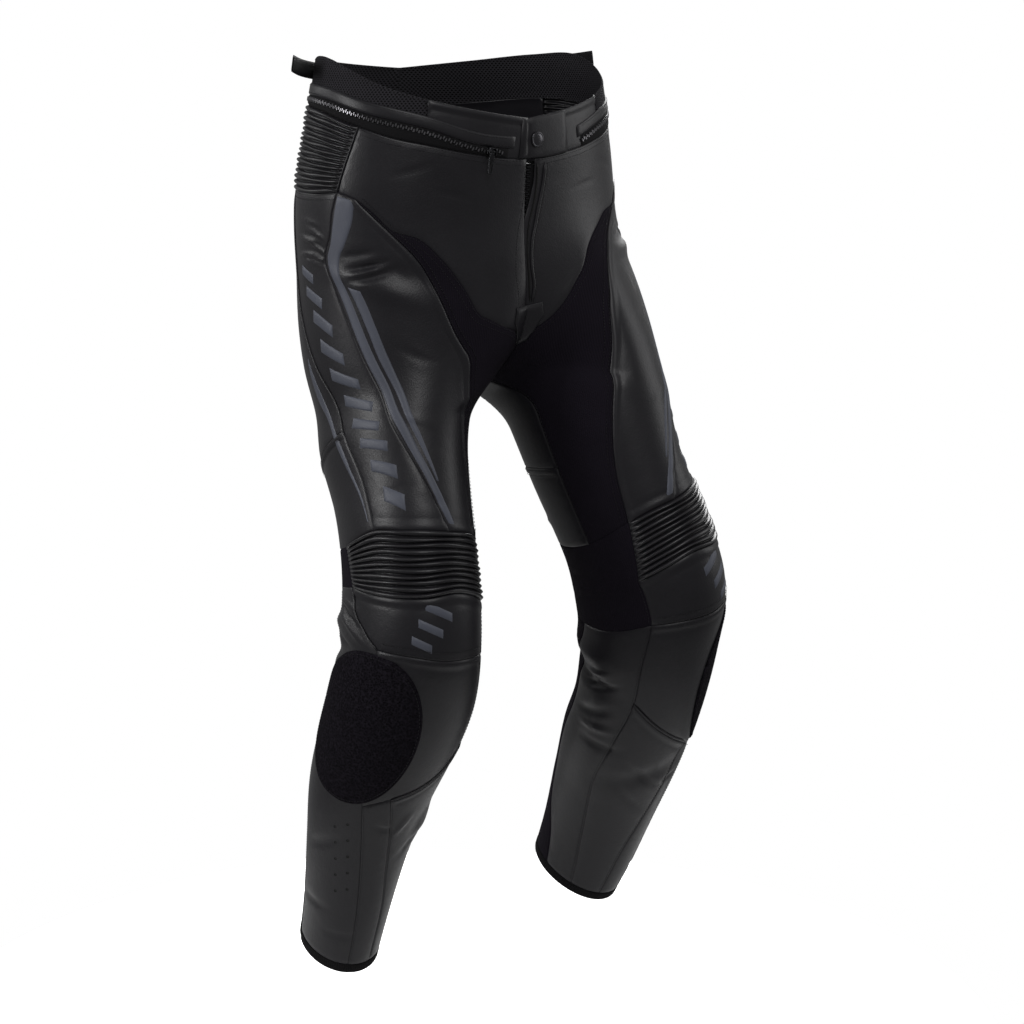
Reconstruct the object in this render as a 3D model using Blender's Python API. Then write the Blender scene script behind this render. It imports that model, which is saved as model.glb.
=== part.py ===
"""Leather motorcycle pants, filled out and worn by nobody, built from their cut pieces.

Every piece is a wall over one form. The form is a table of sections down the body and each leg, bent by a
table of leg angles. A place on it is (angle, down): angle goes round the leg, -90 at the front, 0 at the
outer side, 90 at the back, 180 at the inner side, and down is the length in metres below the hip line.
Metres, Z up, the wearer's front towards -Y and the wearer's left towards +X.
"""

from math import ceil, cos, pi, radians, sin

import bpy
import numpy as np
from mathutils.geometry import delaunay_2d_cdt

WALL = 0.0014  # leather and textile walls
GAP = 0.0003  # between pieces at a seam, and between a piece and the one it lies on
EDGE_STEP = 0.021  # longest side of a facet along a seam
GRID_STEP = 0.025  # spacing of the facets inside a piece
AXIS_X = 0.10  # the leg's axis at the hip

RIB_RISE = 0.0024
HIP_RIBS = 16
KNEE_RIBS = 11
HEM_LINE = 0.878
HEM_END = 0.888
FLAP_WIDTH = 0.012
TAPE_WIDTH = 0.008
PATCH_WALL = 0.0018
STRIPE_WALL = 0.0008

RIGHT, LEFT = -1, 1
SIDES = ((RIGHT, "right"), (LEFT, "left"))

# down, centre, half_width, middle, front, back, square
SECTIONS = [
    (-0.130, 0.000, 0.160, 0.000, 0.110, 0.104, 2.15),
    (-0.060, 0.000, 0.169, 0.000, 0.114, 0.110, 2.15),
    (0.000, 0.000, 0.178, 0.000, 0.117, 0.118, 2.15),
    (0.060, 0.008, 0.179, 0.000, 0.114, 0.127, 2.15),
    (0.130, 0.026, 0.161, 0.004, 0.113, 0.129, 2.15),
    (0.200, 0.054, 0.130, 0.004, 0.112, 0.117, 2.15),
    (0.250, 0.076, 0.104, 0.002, 0.107, 0.098, 2.10),
    (0.290, 0.094, 0.081, 0.000, 0.102, 0.085, 2.10),
    (0.330, 0.104, 0.075, 0.000, 0.099, 0.085, 2.05),
    (0.400, 0.106, 0.068, 0.000, 0.093, 0.079, 2.00),
    (0.460, 0.105, 0.068, -0.004, 0.091, 0.076, 2.00),
    (0.520, 0.104, 0.070, -0.008, 0.091, 0.078, 2.00),
    (0.580, 0.102, 0.074, -0.006, 0.077, 0.067, 2.00),
    (0.640, 0.102, 0.070, -0.002, 0.070, 0.064, 2.00),
    (0.700, 0.102, 0.063, 0.000, 0.064, 0.070, 2.00),
    (0.770, 0.102, 0.052, 0.000, 0.056, 0.067, 2.00),
    (0.850, 0.102, 0.043, 0.000, 0.053, 0.056, 2.00),
    (0.930, 0.102, 0.039, 0.000, 0.049, 0.046, 2.00),
]
# down, pitch, yaw, splay: degrees the leg swings forward, turns outward and spreads. 0 is the body's middle
BEND = {
    0: [(0.05, 0, 0, 0), (0.12, 7, 0, 0), (0.20, 12, 0, 0), (0.29, 21, 0, 0), (0.95, 21, 0, 0)],
    RIGHT: [(0.05, 0, 0, 0), (0.12, 2, 0, -3), (0.20, -1, 0, 4), (0.29, 16, 2, -1), (0.38, 26, 15, 1),
            (0.46, 11, 19, 1), (0.54, -3, 19, 6), (0.64, -25, 19, 14), (0.74, -19, 19, 7), (0.90, -21, 19, 5)],
    LEFT: [(0.05, 0, 0, 0), (0.12, 12, 0, 3), (0.20, 26, 1, 1), (0.29, 26, 4, -11), (0.38, 20, 12, 4),
           (0.46, 11, 16, 14), (0.54, -4, 16, 10), (0.64, -19, 16, 12), (0.74, -28, 16, 12), (0.90, -32, 16, 5)],
}
WIDTH = (0.9756, -0.0714)  # the whole garment's width at the hip line, and what it loses for each metre up
LENGTH = (-0.0023, -0.0362, -0.0788)  # what the height gains: a constant, and shares of height and its square
# side, angle, down, half_span (degrees), half_width, rise, lean (metres down per degree): soft folds
FOLDS = [
    (RIGHT, 20, 0.520, 30, 0.009, 0.0040, 0.0003),
    (RIGHT, 15, 0.550, 28, 0.009, -0.0035, 0.0003),
    (RIGHT, -35, 0.165, 22, 0.010, 0.0030, -0.0006),
    (RIGHT, -48, 0.150, 18, 0.010, -0.0030, -0.0006),
    (RIGHT, 150, 0.575, 30, 0.010, 0.0040, 0.0002),
    (LEFT, 150, 0.575, 30, 0.010, 0.0045, 0.0002),
    (LEFT, 158, 0.603, 30, 0.010, -0.0045, 0.0003),
    (LEFT, 20, 0.520, 30, 0.009, 0.0040, 0.0003),
    (LEFT, 15, 0.550, 28, 0.009, -0.0035, 0.0003),
    (LEFT, -35, 0.165, 22, 0.010, 0.0030, -0.0006),
    (LEFT, -130, 0.706, 34, 0.011, -0.0030, -0.0004),
]


def along(table, column, at):
    """The table's column at these values of its first one, on a smooth curve through the rows."""
    rows = np.array([row[0] for row in table], float)
    values = np.array([row[column] for row in table], float)
    at = np.clip(np.asarray(at, float), rows[0], rows[-1])
    steps = np.diff(rows)
    slopes = np.diff(values) / steps
    ends = np.empty_like(values)
    ends[0] = slopes[0]
    ends[-1] = slopes[-1]
    ends[1:-1] = (slopes[:-1] * steps[1:] + slopes[1:] * steps[:-1]) / (rows[2:] - rows[:-2])
    row = np.clip(np.searchsorted(rows, at, side="right") - 1, 0, len(rows) - 2)
    step = steps[row]
    t = (at - rows[row]) / step
    return (
        (2 * t**3 - 3 * t**2 + 1) * values[row]
        + (t**3 - 2 * t**2 + t) * step * ends[row]
        + (3 * t**2 - 2 * t**3) * values[row + 1]
        + (t**3 - t**2) * step * ends[row + 1]
    )


def ease(value, low, high):
    t = np.clip((np.asarray(value, float) - low) / (high - low), 0, 1)
    return t * t * (3 - 2 * t)


def turned(bend, down, local):
    """These local points turned by the leg's angles at this length."""
    mirror = bend or 1
    pitch = np.radians(along(BEND[bend], 1, down))
    yaw = np.radians(along(BEND[bend], 2, down)) * mirror
    splay = np.radians(along(BEND[bend], 3, down)) * mirror
    x, y, z = local
    y, z = y * np.cos(pitch) + z * np.sin(pitch), z * np.cos(pitch) - y * np.sin(pitch)
    x, y = x * np.cos(yaw) - y * np.sin(yaw), x * np.sin(yaw) + y * np.cos(yaw)
    x, z = x * np.cos(splay) - z * np.sin(splay), x * np.sin(splay) + z * np.cos(splay)
    return np.stack([x, y, z])


def axis_table(bend):
    """Points down the leg's axis, 1 mm apart."""
    down = np.arange(-0.150, 0.951, 0.001)
    zero = np.zeros_like(down)
    step = turned(bend, down, (zero, zero, zero - 0.001))
    path = np.concatenate([np.zeros((3, 1)), np.cumsum((step[:, 1:] + step[:, :-1]) / 2, axis=1)], axis=1)
    return down, path + np.array([[AXIS_X * bend], [0.0], [0.150]])


AXES = {bend: axis_table(bend) for bend in BEND}


def crotch_down():
    down = np.arange(0.20, 0.33, 0.00005)
    return float(down[np.argmax(along(SECTIONS, 1, down) >= along(SECTIONS, 2, down))])


CROTCH = crotch_down()


def limit(down):
    """The angle at which the section meets the body's middle: 180 below the crotch."""
    down = np.asarray(down, float)
    share = np.clip(along(SECTIONS, 1, down) / along(SECTIONS, 2, down), 0, 1)
    angle = np.degrees(np.arccos(-(share ** (along(SECTIONS, 6, down) / 2))))
    return np.where(down >= CROTCH, 180.0, angle)


def form(side, angle, down):
    """Points of the plain form."""
    angle, down = np.broadcast_arrays(np.asarray(angle, float), np.asarray(down, float))
    centre, half, middle, front, back, square = (along(SECTIONS, k, down) for k in range(1, 7))
    centre = np.maximum(centre, 0.0)
    most = np.where(down < CROTCH, limit(down), 1e9)
    turn = np.radians(np.clip(angle, -most, most))
    c, s = np.cos(turn), np.sin(turn)
    x = centre + half * np.sign(c) * np.abs(c) ** (2 / square)
    y = middle + np.where(s < 0, front, back) * np.sign(s) * np.abs(s) ** (2 / square)
    zero = np.zeros_like(x)

    def placed(bend):
        table, path = AXES[bend]
        base = np.stack([np.interp(down, table, path[k]) for k in range(3)])
        if bend == 0:
            base[0] += AXIS_X * side
        return base + turned(bend, down, ((x - AXIS_X) * side, y, zero))

    share = np.maximum(ease(x, 0, 0.09), ease(down, 0.27, 0.33))
    x, y, z = placed(0) * (1 - share) + placed(side) * share
    width = WIDTH[0] + WIDTH[1] * z
    return np.stack([x * width, y * width, z + LENGTH[0] + LENGTH[1] * z + LENGTH[2] * z * z], axis=-1)


def form_normal(side, angle, down):
    across = form(side, angle + 0.5, down) - form(side, angle - 0.5, down)
    along_leg = form(side, angle, down + 0.002) - form(side, angle, down - 0.002)
    normal = np.cross(along_leg, across) * side
    return normal / np.maximum(np.linalg.norm(normal, axis=-1, keepdims=True), 1e-12)


def skin(side, angle, down):
    """Points and outward normals of the outer surface, with its folds."""
    angle, down = np.broadcast_arrays(np.asarray(angle, float), np.asarray(down, float))
    points = form(side, angle, down)
    normals = form_normal(side, angle, down)
    middle = (down < CROTCH) & (np.abs(points[..., 0]) < 2e-5)
    normals[..., 0] = np.where(middle, 0, normals[..., 0])
    normals /= np.linalg.norm(normals, axis=-1, keepdims=True)
    lift = np.zeros(angle.shape)
    for fold_side, at, level, span, width, rise, lean in FOLDS:
        if fold_side != side:
            continue
        away = (angle - at + 180) % 360 - 180
        across = (down - level - lean * away) / width
        lift += rise * np.exp(-((away / span) ** 2) - across**2)
    return points + normals * lift[..., None], normals


def reach(down):
    """A mean radius, which turns degrees into metres round the leg."""
    return (along(SECTIONS, 2, down) + along(SECTIONS, 4, down)) / 2


def flat(points):
    """(angle, down) as metres on a plane, near enough to shape the facets."""
    points = np.asarray(points, float)
    return np.stack([np.radians(points[:, 0]) * reach(points[:, 1]), points[:, 1]], axis=1)


# Each seam is a curve through rows of (angle, down)
SEAMS = {
    "rim": [(-95, -0.006), (-72, -0.015), (-52, -0.027), (-31, -0.042), (-14, -0.057), (3, -0.069),
            (30, -0.068), (60, -0.061), (95, -0.054)],
    "waist": [(-95, 0.036), (-88, 0.036), (-74, 0.031), (-52, 0.019), (-40, 0.013), (-22, 0.001),
              (5, -0.015), (26, -0.019), (60, -0.014), (95, -0.010)],
    "binding": [(-52, -0.027), (-52, 0.019)],
    "hip_front": [(-22, 0.001), (-15, 0.067)],
    "hip_bottom": [(-15, 0.067), (5, 0.069), (26, 0.068)],
    "hip_back": [(26, -0.019), (26, 0.068)],
    "apron": [(-15, 0.067), (-25, 0.074), (-35, 0.090), (-42, 0.106), (-54, 0.117), (-64, 0.138),
              (-76, 0.166), (-89, 0.200), (-106, 0.228), (-145, 0.250)],
    "fly": [(-88, 0.036), (-90, 0.070), (-93, 0.095), (-99, 0.112)],
    "thigh": [(-25, 0.074), (-33, 0.090), (-43, 0.112), (-55, 0.142), (-64, 0.170), (-77, 0.209),
              (-94, 0.256), (-114, 0.304), (-132, 0.357), (-142, 0.405), (-146, 0.441)],
    "stripe": [(-15, 0.067), (-12, 0.088), (-10.5, 0.108), (-6.5, 0.132), (-12, 0.168), (-24, 0.2165),
               (-48, 0.3095), (-75, 0.3785), (-105, 0.437)],
    "side": [(26, 0.068), (24, 0.130), (18, 0.200), (9, 0.236), (-1.5, 0.269), (-15.5, 0.322),
             (-31, 0.380), (-40, 0.431)],
    "inseam": [(-180, CROTCH), (-180, 0.320), (-181, 0.350), (-181, 0.378), (-181, 0.451)],
    "cross": [(-181, 0.378), (-222, 0.368), (-270, 0.360), (-320, 0.345), (-375.5, 0.322)],
    "rib_top": [(-6, 0.441), (-17, 0.437), (-40, 0.431), (-63, 0.434), (-105, 0.437), (-128, 0.438),
                (-146, 0.441)],
    "rib_bottom": [(-13, 0.480), (-39, 0.485), (-79, 0.487), (-111, 0.484), (-137, 0.489), (-155, 0.495)],
    "rib_in": [(-146, 0.441), (-155, 0.495)],
    "rib_out": [(-6, 0.441), (-13, 0.480)],
    "knee_out": [(-13, 0.480), (-19, 0.506), (-32, 0.524), (-42, 0.533)],
    "knee_bottom": [(-42, 0.533), (-69, 0.534), (-97, 0.536), (-129, 0.536), (-149, 0.537)],
    "knee_in": [(-155, 0.495), (-152, 0.518), (-149, 0.537)],
    "back_top": [(-146, 0.441), (-181, 0.451), (-215, 0.452), (-270, 0.448), (-346, 0.441), (-366, 0.441)],
    "back_bottom": [(-149, 0.537), (-180, 0.546), (-212, 0.548), (-270, 0.546), (-340, 0.543)],
    "back_out": [(-342, 0.482), (-340, 0.543)],
    "shin_top": [(-13, 0.480), (18, 0.482)],
    "under_patch": [(-42, 0.533), (-54, 0.610), (-67, 0.688)],
    "armour": [(-154, 0.617), (-131, 0.641), (-115, 0.654), (-90, 0.671), (-67, 0.688)],
    "shin_inner": [(-149, 0.537), (-152, 0.577), (-154, 0.617), (-166, 0.671), (-177, 0.731),
                   (-174, 0.791), (-160, HEM_LINE)],
    "shin_one": [(-67, 0.688), (-74, 0.740), (-79, 0.782), (-82, 0.818), (-84, HEM_LINE)],
    "shin_two": [(-90, 0.671), (-98, 0.708), (-102, 0.732), (-109, 0.772), (-117, 0.812), (-119, HEM_LINE)],
    "gusset_in": [(-212, 0.548), (-220, 0.600), (-227, 0.659), (-235, 0.758), (-229, 0.806), (-212, 0.840),
                  (-200, HEM_LINE)],
    "gusset_out": [(-340, 0.543), (-338, 0.620), (-341, 0.700), (-346, 0.790), (-350, HEM_LINE)],
    "hem": [(10, HEM_LINE), (-36, HEM_LINE), (-84, HEM_LINE), (-119, HEM_LINE), (-160, HEM_LINE),
            (-200, HEM_LINE), (-275, HEM_LINE), (-350, HEM_LINE)],
    "hem_end": [(10, HEM_END), (-36, HEM_END), (-84, HEM_END), (-119, HEM_END), (-160, HEM_END),
                (-200, HEM_END), (-275, HEM_END), (-350, HEM_END)],
}
# The body's middle, front and back: lengths only, as the angle is the section's limit there
FRONT_MIDDLE = [-0.006, 0.036, 0.075, 0.112, 0.150, 0.190, 0.225, 0.250, 0.259, 0.266, 0.270, CROTCH]
BACK_MIDDLE = [-0.054, -0.010, 0.040, 0.100, 0.160, 0.210, 0.240, 0.256, 0.265, 0.270, CROTCH]


# The far seam of each ribbed panel takes its points at the same shares of its length as the near one
MATCHED = {"rib_bottom": ("rib_top",), "hip_bottom": ("waist", 5, 7)}


def shares(points):
    """How far along the curve each of its points lies, from 0 to 1."""
    travel = np.concatenate([[0], np.cumsum(np.hypot(*np.diff(flat(points), axis=0).T))])
    return travel / travel[-1]


def seam_pieces(name):
    """The seam's points, one array for each stretch between two rows, ends included."""
    if name in ("front_middle", "back_middle"):
        levels = FRONT_MIDDLE if name == "front_middle" else BACK_MIDDLE
        sign = -1 if name == "front_middle" else 1
        pieces = []
        for low, high in zip(levels, levels[1:]):
            count = max(1, ceil((high - low) / EDGE_STEP))
            down = np.linspace(low, high, count + 1)
            pieces.append(np.stack([sign * limit(down), down], axis=1))
        return pieces
    rows = np.array(SEAMS[name], float)
    most = np.where(rows[:, 1] < CROTCH - 1e-9, limit(rows[:, 1]), 1e9)
    rows[:, 0] = np.clip(rows[:, 0], -most, most)
    plane = flat(rows)
    travel = np.concatenate([[0], np.cumsum(np.hypot(*np.diff(plane, axis=0).T))])
    table = [(t, *row) for t, row in zip(travel, rows)]
    if name in MATCHED:
        stops = [shares(run(*MATCHED[name])) * travel[-1]]
    else:
        stops = [np.linspace(low, high, max(1, ceil((high - low) / EDGE_STEP)) + 1)
                 for low, high in zip(travel, travel[1:])]
    pieces = []
    for t in stops:
        piece = np.stack([along(table, 1, t), along(table, 2, t)], axis=1)
        most = np.where(piece[:, 1] < CROTCH - 1e-9, limit(piece[:, 1]), 1e9)
        piece[:, 0] = np.clip(piece[:, 0], -most, most)
        pieces.append(piece)
    return pieces


def run(name, first=0, last=None, turn=0):
    """The seam from one row to another, either way, with whole turns added to its angles."""
    pieces = seam_pieces(name)
    last = len(pieces) if last is None else last
    if last > first:
        points = np.concatenate([p[:-1] for p in pieces[first:last]] + [pieces[last - 1][-1:]])
    else:
        points = np.concatenate([p[:-1] for p in pieces[last:first]] + [pieces[first - 1][-1:]])[::-1]
    return points + np.array([turn, 0.0])


def outline(*runs):
    """The runs, end to end, as one closed outline."""
    points = np.concatenate(runs)
    nxt = np.roll(points, -1, axis=0)
    keep = np.abs(points - nxt).max(axis=1) > 1e-7
    return points[keep]


def level(name, angle):
    """How far down the seam lies at this angle."""
    points = run(name)
    order = np.argsort(points[:, 0])
    return float(np.interp(angle, points[order, 0], points[order, 1]))


def inside(polygon, points):
    """Which of these points of the plane lie in the closed polygon."""
    found = np.zeros(len(points), bool)
    x, y = points[:, 0], points[:, 1]
    for (ax, ay), (bx, by) in zip(polygon, np.roll(polygon, -1, axis=0)):
        crosses = (ay > y) != (by > y)
        if ay != by:
            found ^= crosses & (x < ax + (y - ay) * (bx - ax) / (by - ay))
    return found


def distance_to(polygon, points):
    best = np.full(len(points), 1e9)
    for a, b in zip(polygon, np.roll(polygon, -1, axis=0)):
        way = b - a
        t = np.clip(((points - a) @ way) / max(way @ way, 1e-18), 0, 1)
        best = np.minimum(best, np.linalg.norm(points - a - t[:, None] * way, axis=1))
    return best


def facets(polygon, marks=(), step=GRID_STEP):
    """(places, triangles) of the outline's inside, with the marks' outlines as edges in it."""
    loops = [polygon, *marks]
    planes = [flat(loop) for loop in loops]
    low, high = planes[0].min(axis=0), planes[0].max(axis=0)
    xs = np.arange(low[0] - step, high[0] + step, step)
    ys = np.arange(low[1] + step / 2, high[1], step)
    grid = np.array([(x + (step / 2 if row % 2 else 0), y) for row, y in enumerate(ys) for x in xs])
    if len(grid):
        grid = grid[inside(planes[0], grid)]
    for plane in planes:
        if len(grid):
            grid = grid[distance_to(plane, grid) > step * 0.5]
    coords, edges, known = [], [], []
    for loop, plane in zip(loops, planes):
        first = len(coords)
        coords += [tuple(p) for p in plane]
        known += [tuple(p) for p in loop]
        edges += [(first + k, first + (k + 1) % len(loop)) for k in range(len(loop))]
    coords += [tuple(p) for p in grid]
    known += [None] * len(grid)
    verts, _, tris, origins, _, _ = delaunay_2d_cdt(coords, edges, [], 0, 1e-7)
    plane = np.array([tuple(v) for v in verts])
    places = np.stack([np.degrees(plane[:, 0] / reach(plane[:, 1])), plane[:, 1]], axis=1)
    for k, origin in enumerate(origins):
        named = [known[i] for i in origin if known[i] is not None]
        if named:
            places[k] = named[0]
    most = limit(places[:, 1])
    near = (places[:, 1] < CROTCH - 1e-9) & (np.abs(np.abs(places[:, 0]) - most) < 0.2)
    places[:, 0] = np.where(near, np.sign(places[:, 0]) * most, places[:, 0])
    tris = np.array([tuple(t) for t in tris])
    middle = plane[tris].mean(axis=1)
    return places, tris[inside(planes[0], middle)]


def joined(regions):
    """Points, normals and triangles of several (side, places, triangles), welded where they meet."""
    points, normals, tris = np.zeros((0, 3)), np.zeros((0, 3)), []
    for side, places, faces in regions:
        used = np.unique(faces)
        new_points, new_normals = skin(side, places[used, 0], places[used, 1])
        number = {}
        for old, point, normal in zip(used, new_points, new_normals):
            near = np.where(np.abs(points - point).max(axis=1) < 4e-6)[0] if len(points) else []
            if len(near):
                number[old] = int(near[0])
                normals[near[0]] += normal
            else:
                number[old] = len(points)
                points = np.vstack([points, point])
                normals = np.vstack([normals, normal])
        tris += [[number[a], number[b], number[c]] for a, b, c in faces]
    normals /= np.linalg.norm(normals, axis=1, keepdims=True)
    tris = np.array([t for t in tris if len(set(t)) == 3])
    a, b, c = (points[tris[:, k]] for k in range(3))
    facing = (np.cross(b - a, c - a) * (normals[tris].sum(axis=1))).sum(axis=1)
    tris[facing < 0] = tris[facing < 0][:, ::-1]
    return points, normals, tris


def open_edges(tris):
    ends = np.concatenate([tris[:, [0, 1]], tris[:, [1, 2]], tris[:, [2, 0]]])
    there = {tuple(e) for e in ends}
    return [(a, b) for a, b in there if (b, a) not in there]


def inset(points, normals, edges, amount):
    """How far each point on the border moves in from it."""
    moves = np.zeros_like(points)
    found = {}
    for a, b in edges:
        way = points[b] - points[a]
        inward = np.cross(normals[a] + normals[b], way)
        inward /= np.linalg.norm(inward)
        found.setdefault(a, []).append(inward)
        found.setdefault(b, []).append(inward)
    for k, ways in found.items():
        total = np.sum(ways, axis=0)
        size = np.linalg.norm(total)
        total /= max(size, 1e-9)
        share = max(min(float(total @ w) for w in ways), 0.5)
        moves[k] = total * amount / share
    return moves


def material(name, colour, roughness, metallic=0.0):
    found = bpy.data.materials.get(name)
    if found:
        return found
    made = bpy.data.materials.new(name)
    made.use_nodes = True
    shader = made.node_tree.nodes["Principled BSDF"]
    shader.inputs["Base Color"].default_value = (*colour, 1)
    shader.inputs["Roughness"].default_value = roughness
    shader.inputs["Metallic"].default_value = metallic
    made.diffuse_color = (*colour, 1)
    return made


LOOKS = {
    "leather_black": ((0.028, 0.027, 0.028), 0.45),
    "leather_grey": ((0.36, 0.38, 0.42), 0.45),
    "stretch_textile": ((0.022, 0.019, 0.024), 0.85),
    "mesh_fabric": ((0.030, 0.030, 0.032), 0.80),
    "loop_patch": ((0.012, 0.012, 0.013), 0.95),
    "knit_hem": ((0.015, 0.015, 0.016), 0.90),
    "zip_tape": ((0.020, 0.020, 0.022), 0.80),
    "webbing": ((0.020, 0.020, 0.022), 0.70),
    "dark_metal": ((0.045, 0.045, 0.048), 0.35, 1.0),
}


def add_object(name, verts, faces, look, location=(0.0, 0.0, 0.0)):
    mesh = bpy.data.meshes.new(name)
    shift = np.array(location, float)
    mesh.from_pydata([tuple(np.asarray(v, float) - shift) for v in verts], [], [list(map(int, f)) for f in faces])
    mesh.update()
    made = bpy.data.objects.new(name, mesh)
    made.location = location
    own = material(f"{look}.{name}", *LOOKS[look])
    mesh.materials.append(own)
    bpy.context.scene.collection.objects.link(made)
    return made


def add_wall(name, regions, look, base=0.0, wall=WALL):
    """A wall over these regions, its outer face this far above the form."""
    points, normals, tris = joined(regions)
    edges = open_edges(tris)
    moves = inset(points, normals, edges, GAP / 2)
    count = len(points)
    outer = points + normals * base + moves
    inner = points + normals * (base - wall) + moves
    faces = [tuple(t) for t in tris]
    faces += [(c + count, b + count, a + count) for a, b, c in tris]
    for a, b in edges:
        faces.append((b, a, a + count))
        faces.append((b, a + count, b + count))
    return add_object(name, np.vstack([outer, inner]), faces, look)


FACETS = {}  # (panel, side): (places, triangles), kept for the pieces that lie on a panel


def add_panel(name, polygon, look, marks=(), sides=SIDES, step=GRID_STEP):
    places, tris = facets(polygon, marks, step)
    for side, word in sides:
        FACETS[name, side] = (places, tris)
        add_wall(f"{name}_{word}", [(side, places, tris)], look)


def part_of(region, side, mark):
    """The facets of a panel inside a mark's outline."""
    places, tris = FACETS[region, side]
    plane = flat(places)
    chosen = inside(flat(mark), plane[tris].mean(axis=1))
    return side, places, tris[chosen]


def add_overlay(name, chosen, look, wall, lift=GAP):
    """A piece that lies on panels, made from their points, moved out."""
    regions = [part_of(panel, side, mark) for panel, side, mark in chosen]
    regions = [r for r in regions if len(r[2])]
    return add_wall(name, regions, look, base=lift + wall, wall=wall)


def add_ribs(name, top, bottom, look, ribs):
    """Accordion leather: raised rows over a plain inside, dying out at both side seams."""
    for side, word in SIDES:
        rows = ribs * 3 + 1
        fade = np.ones(len(top))
        fade[[0, -1]] = 0
        verts, low = [], []
        for row in range(rows):
            rib, step = divmod(row, 3)
            t = (rib + (0, 0.28, 0.72)[step]) / ribs
            place = top * (1 - t) + bottom * t
            points, normals = skin(side, place[:, 0], place[:, 1])
            rise = 0.0 if step == 0 else RIB_RISE
            verts.append((points, normals, rise * fade))
            if step == 0:
                low.append((points, normals))
        moves = border_moves([v[0] for v in verts], [v[1] for v in verts])
        low_moves = border_moves([v[0] for v in low], [v[1] for v in low])
        outer = [p + n * r[:, None] + m for (p, n, r), m in zip(verts, moves)]
        inner = [p - n * WALL + m for (p, n), m in zip(low, low_moves)]
        add_object(f"{name}_{word}", *grid_shell(outer, inner, 3, side), look)


def border_moves(rows, normals):
    """Moves of half the gap in from a grid's four borders."""
    rows = np.array(rows)
    moves = np.zeros_like(rows)
    across = rows[:, 1:] - rows[:, :-1]
    across /= np.linalg.norm(across, axis=2, keepdims=True)
    down = rows[1:] - rows[:-1]
    down /= np.linalg.norm(down, axis=2, keepdims=True)
    moves[:, 0] += across[:, 0]
    moves[:, -1] -= across[:, -1]
    moves[0] += down[0]
    moves[-1] -= down[-1]
    return moves * GAP / 2


def grid_shell(outer, inner, every, side):
    """One closed mesh from an outer grid and an inner one with a row for every so many outer rows."""
    columns = len(outer[0])
    verts = np.vstack([np.vstack(outer), np.vstack(inner)])
    base = len(outer) * columns
    faces = []

    def out(r, c):
        return r * columns + c

    def low(r, c):
        return base + r * columns + c

    for r in range(len(outer) - 1):
        for c in range(columns - 1):
            faces.append((out(r, c), out(r + 1, c), out(r + 1, c + 1)))
            faces.append((out(r, c), out(r + 1, c + 1), out(r, c + 1)))
    for r in range(len(inner) - 1):
        for c in range(columns - 1):
            faces.append((low(r, c), low(r + 1, c + 1), low(r + 1, c)))
            faces.append((low(r, c), low(r, c + 1), low(r + 1, c + 1)))
    for c in range(columns - 1):
        last, last_low = len(outer) - 1, len(inner) - 1
        faces.append((out(0, c), out(0, c + 1), low(0, c + 1)))
        faces.append((out(0, c), low(0, c + 1), low(0, c)))
        faces.append((out(last, c + 1), out(last, c), low(last_low, c)))
        faces.append((out(last, c + 1), low(last_low, c), low(last_low, c + 1)))
    for r in range(len(inner) - 1):
        for c, forward in ((0, True), (columns - 1, False)):
            fan = [out(r * every + k, c) for k in range(every + 1)]
            new = [(fan[k + 1], fan[k], low(r, c)) for k in range(every)]
            new.append((fan[-1], low(r, c), low(r + 1, c)))
            faces += new if forward else [f[::-1] for f in new]
    a, b, c = (verts[[f[k] for f in faces]] for k in range(3))
    if (a * np.cross(b, c)).sum() < 0:
        faces = [f[::-1] for f in faces]
    return verts, faces


def frame_at(side, angle, down, lift=0.0):
    """(point, across, down, out) on the surface: across runs towards the wearer's left."""
    (point,), (out,) = skin(side, np.array([angle]), np.array([down]))
    below = form(side, angle, down + 0.004) - form(side, angle, down - 0.004)
    below -= out * (below @ out)
    below /= np.linalg.norm(below)
    across = np.cross(out, below) * -1
    return point + out * lift, across, below, out


def prism(frame, profile, low, high, way=0):
    """A closed bar: the profile is in the two other directions of the frame, the bar runs along this one."""
    point, *ways = frame
    a, b = [ways[k] for k in range(3) if k != way]
    count = len(profile)
    verts = [point + a * u + b * v + ways[way] * end for end in (low, high) for u, v in profile]
    faces = [list(range(count))[::-1], list(range(count, 2 * count))]
    faces += [[k, (k + 1) % count, count + (k + 1) % count, count + k] for k in range(count)]
    return np.array(verts), faces


def facing_out(verts, faces):
    total = 0.0
    for face in faces:
        for k in range(1, len(face) - 1):
            a, b, c = verts[face[0]], verts[face[k]], verts[face[k + 1]]
            total += float(a @ np.cross(b, c))
    return [f[::-1] for f in faces] if total < 0 else faces


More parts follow.
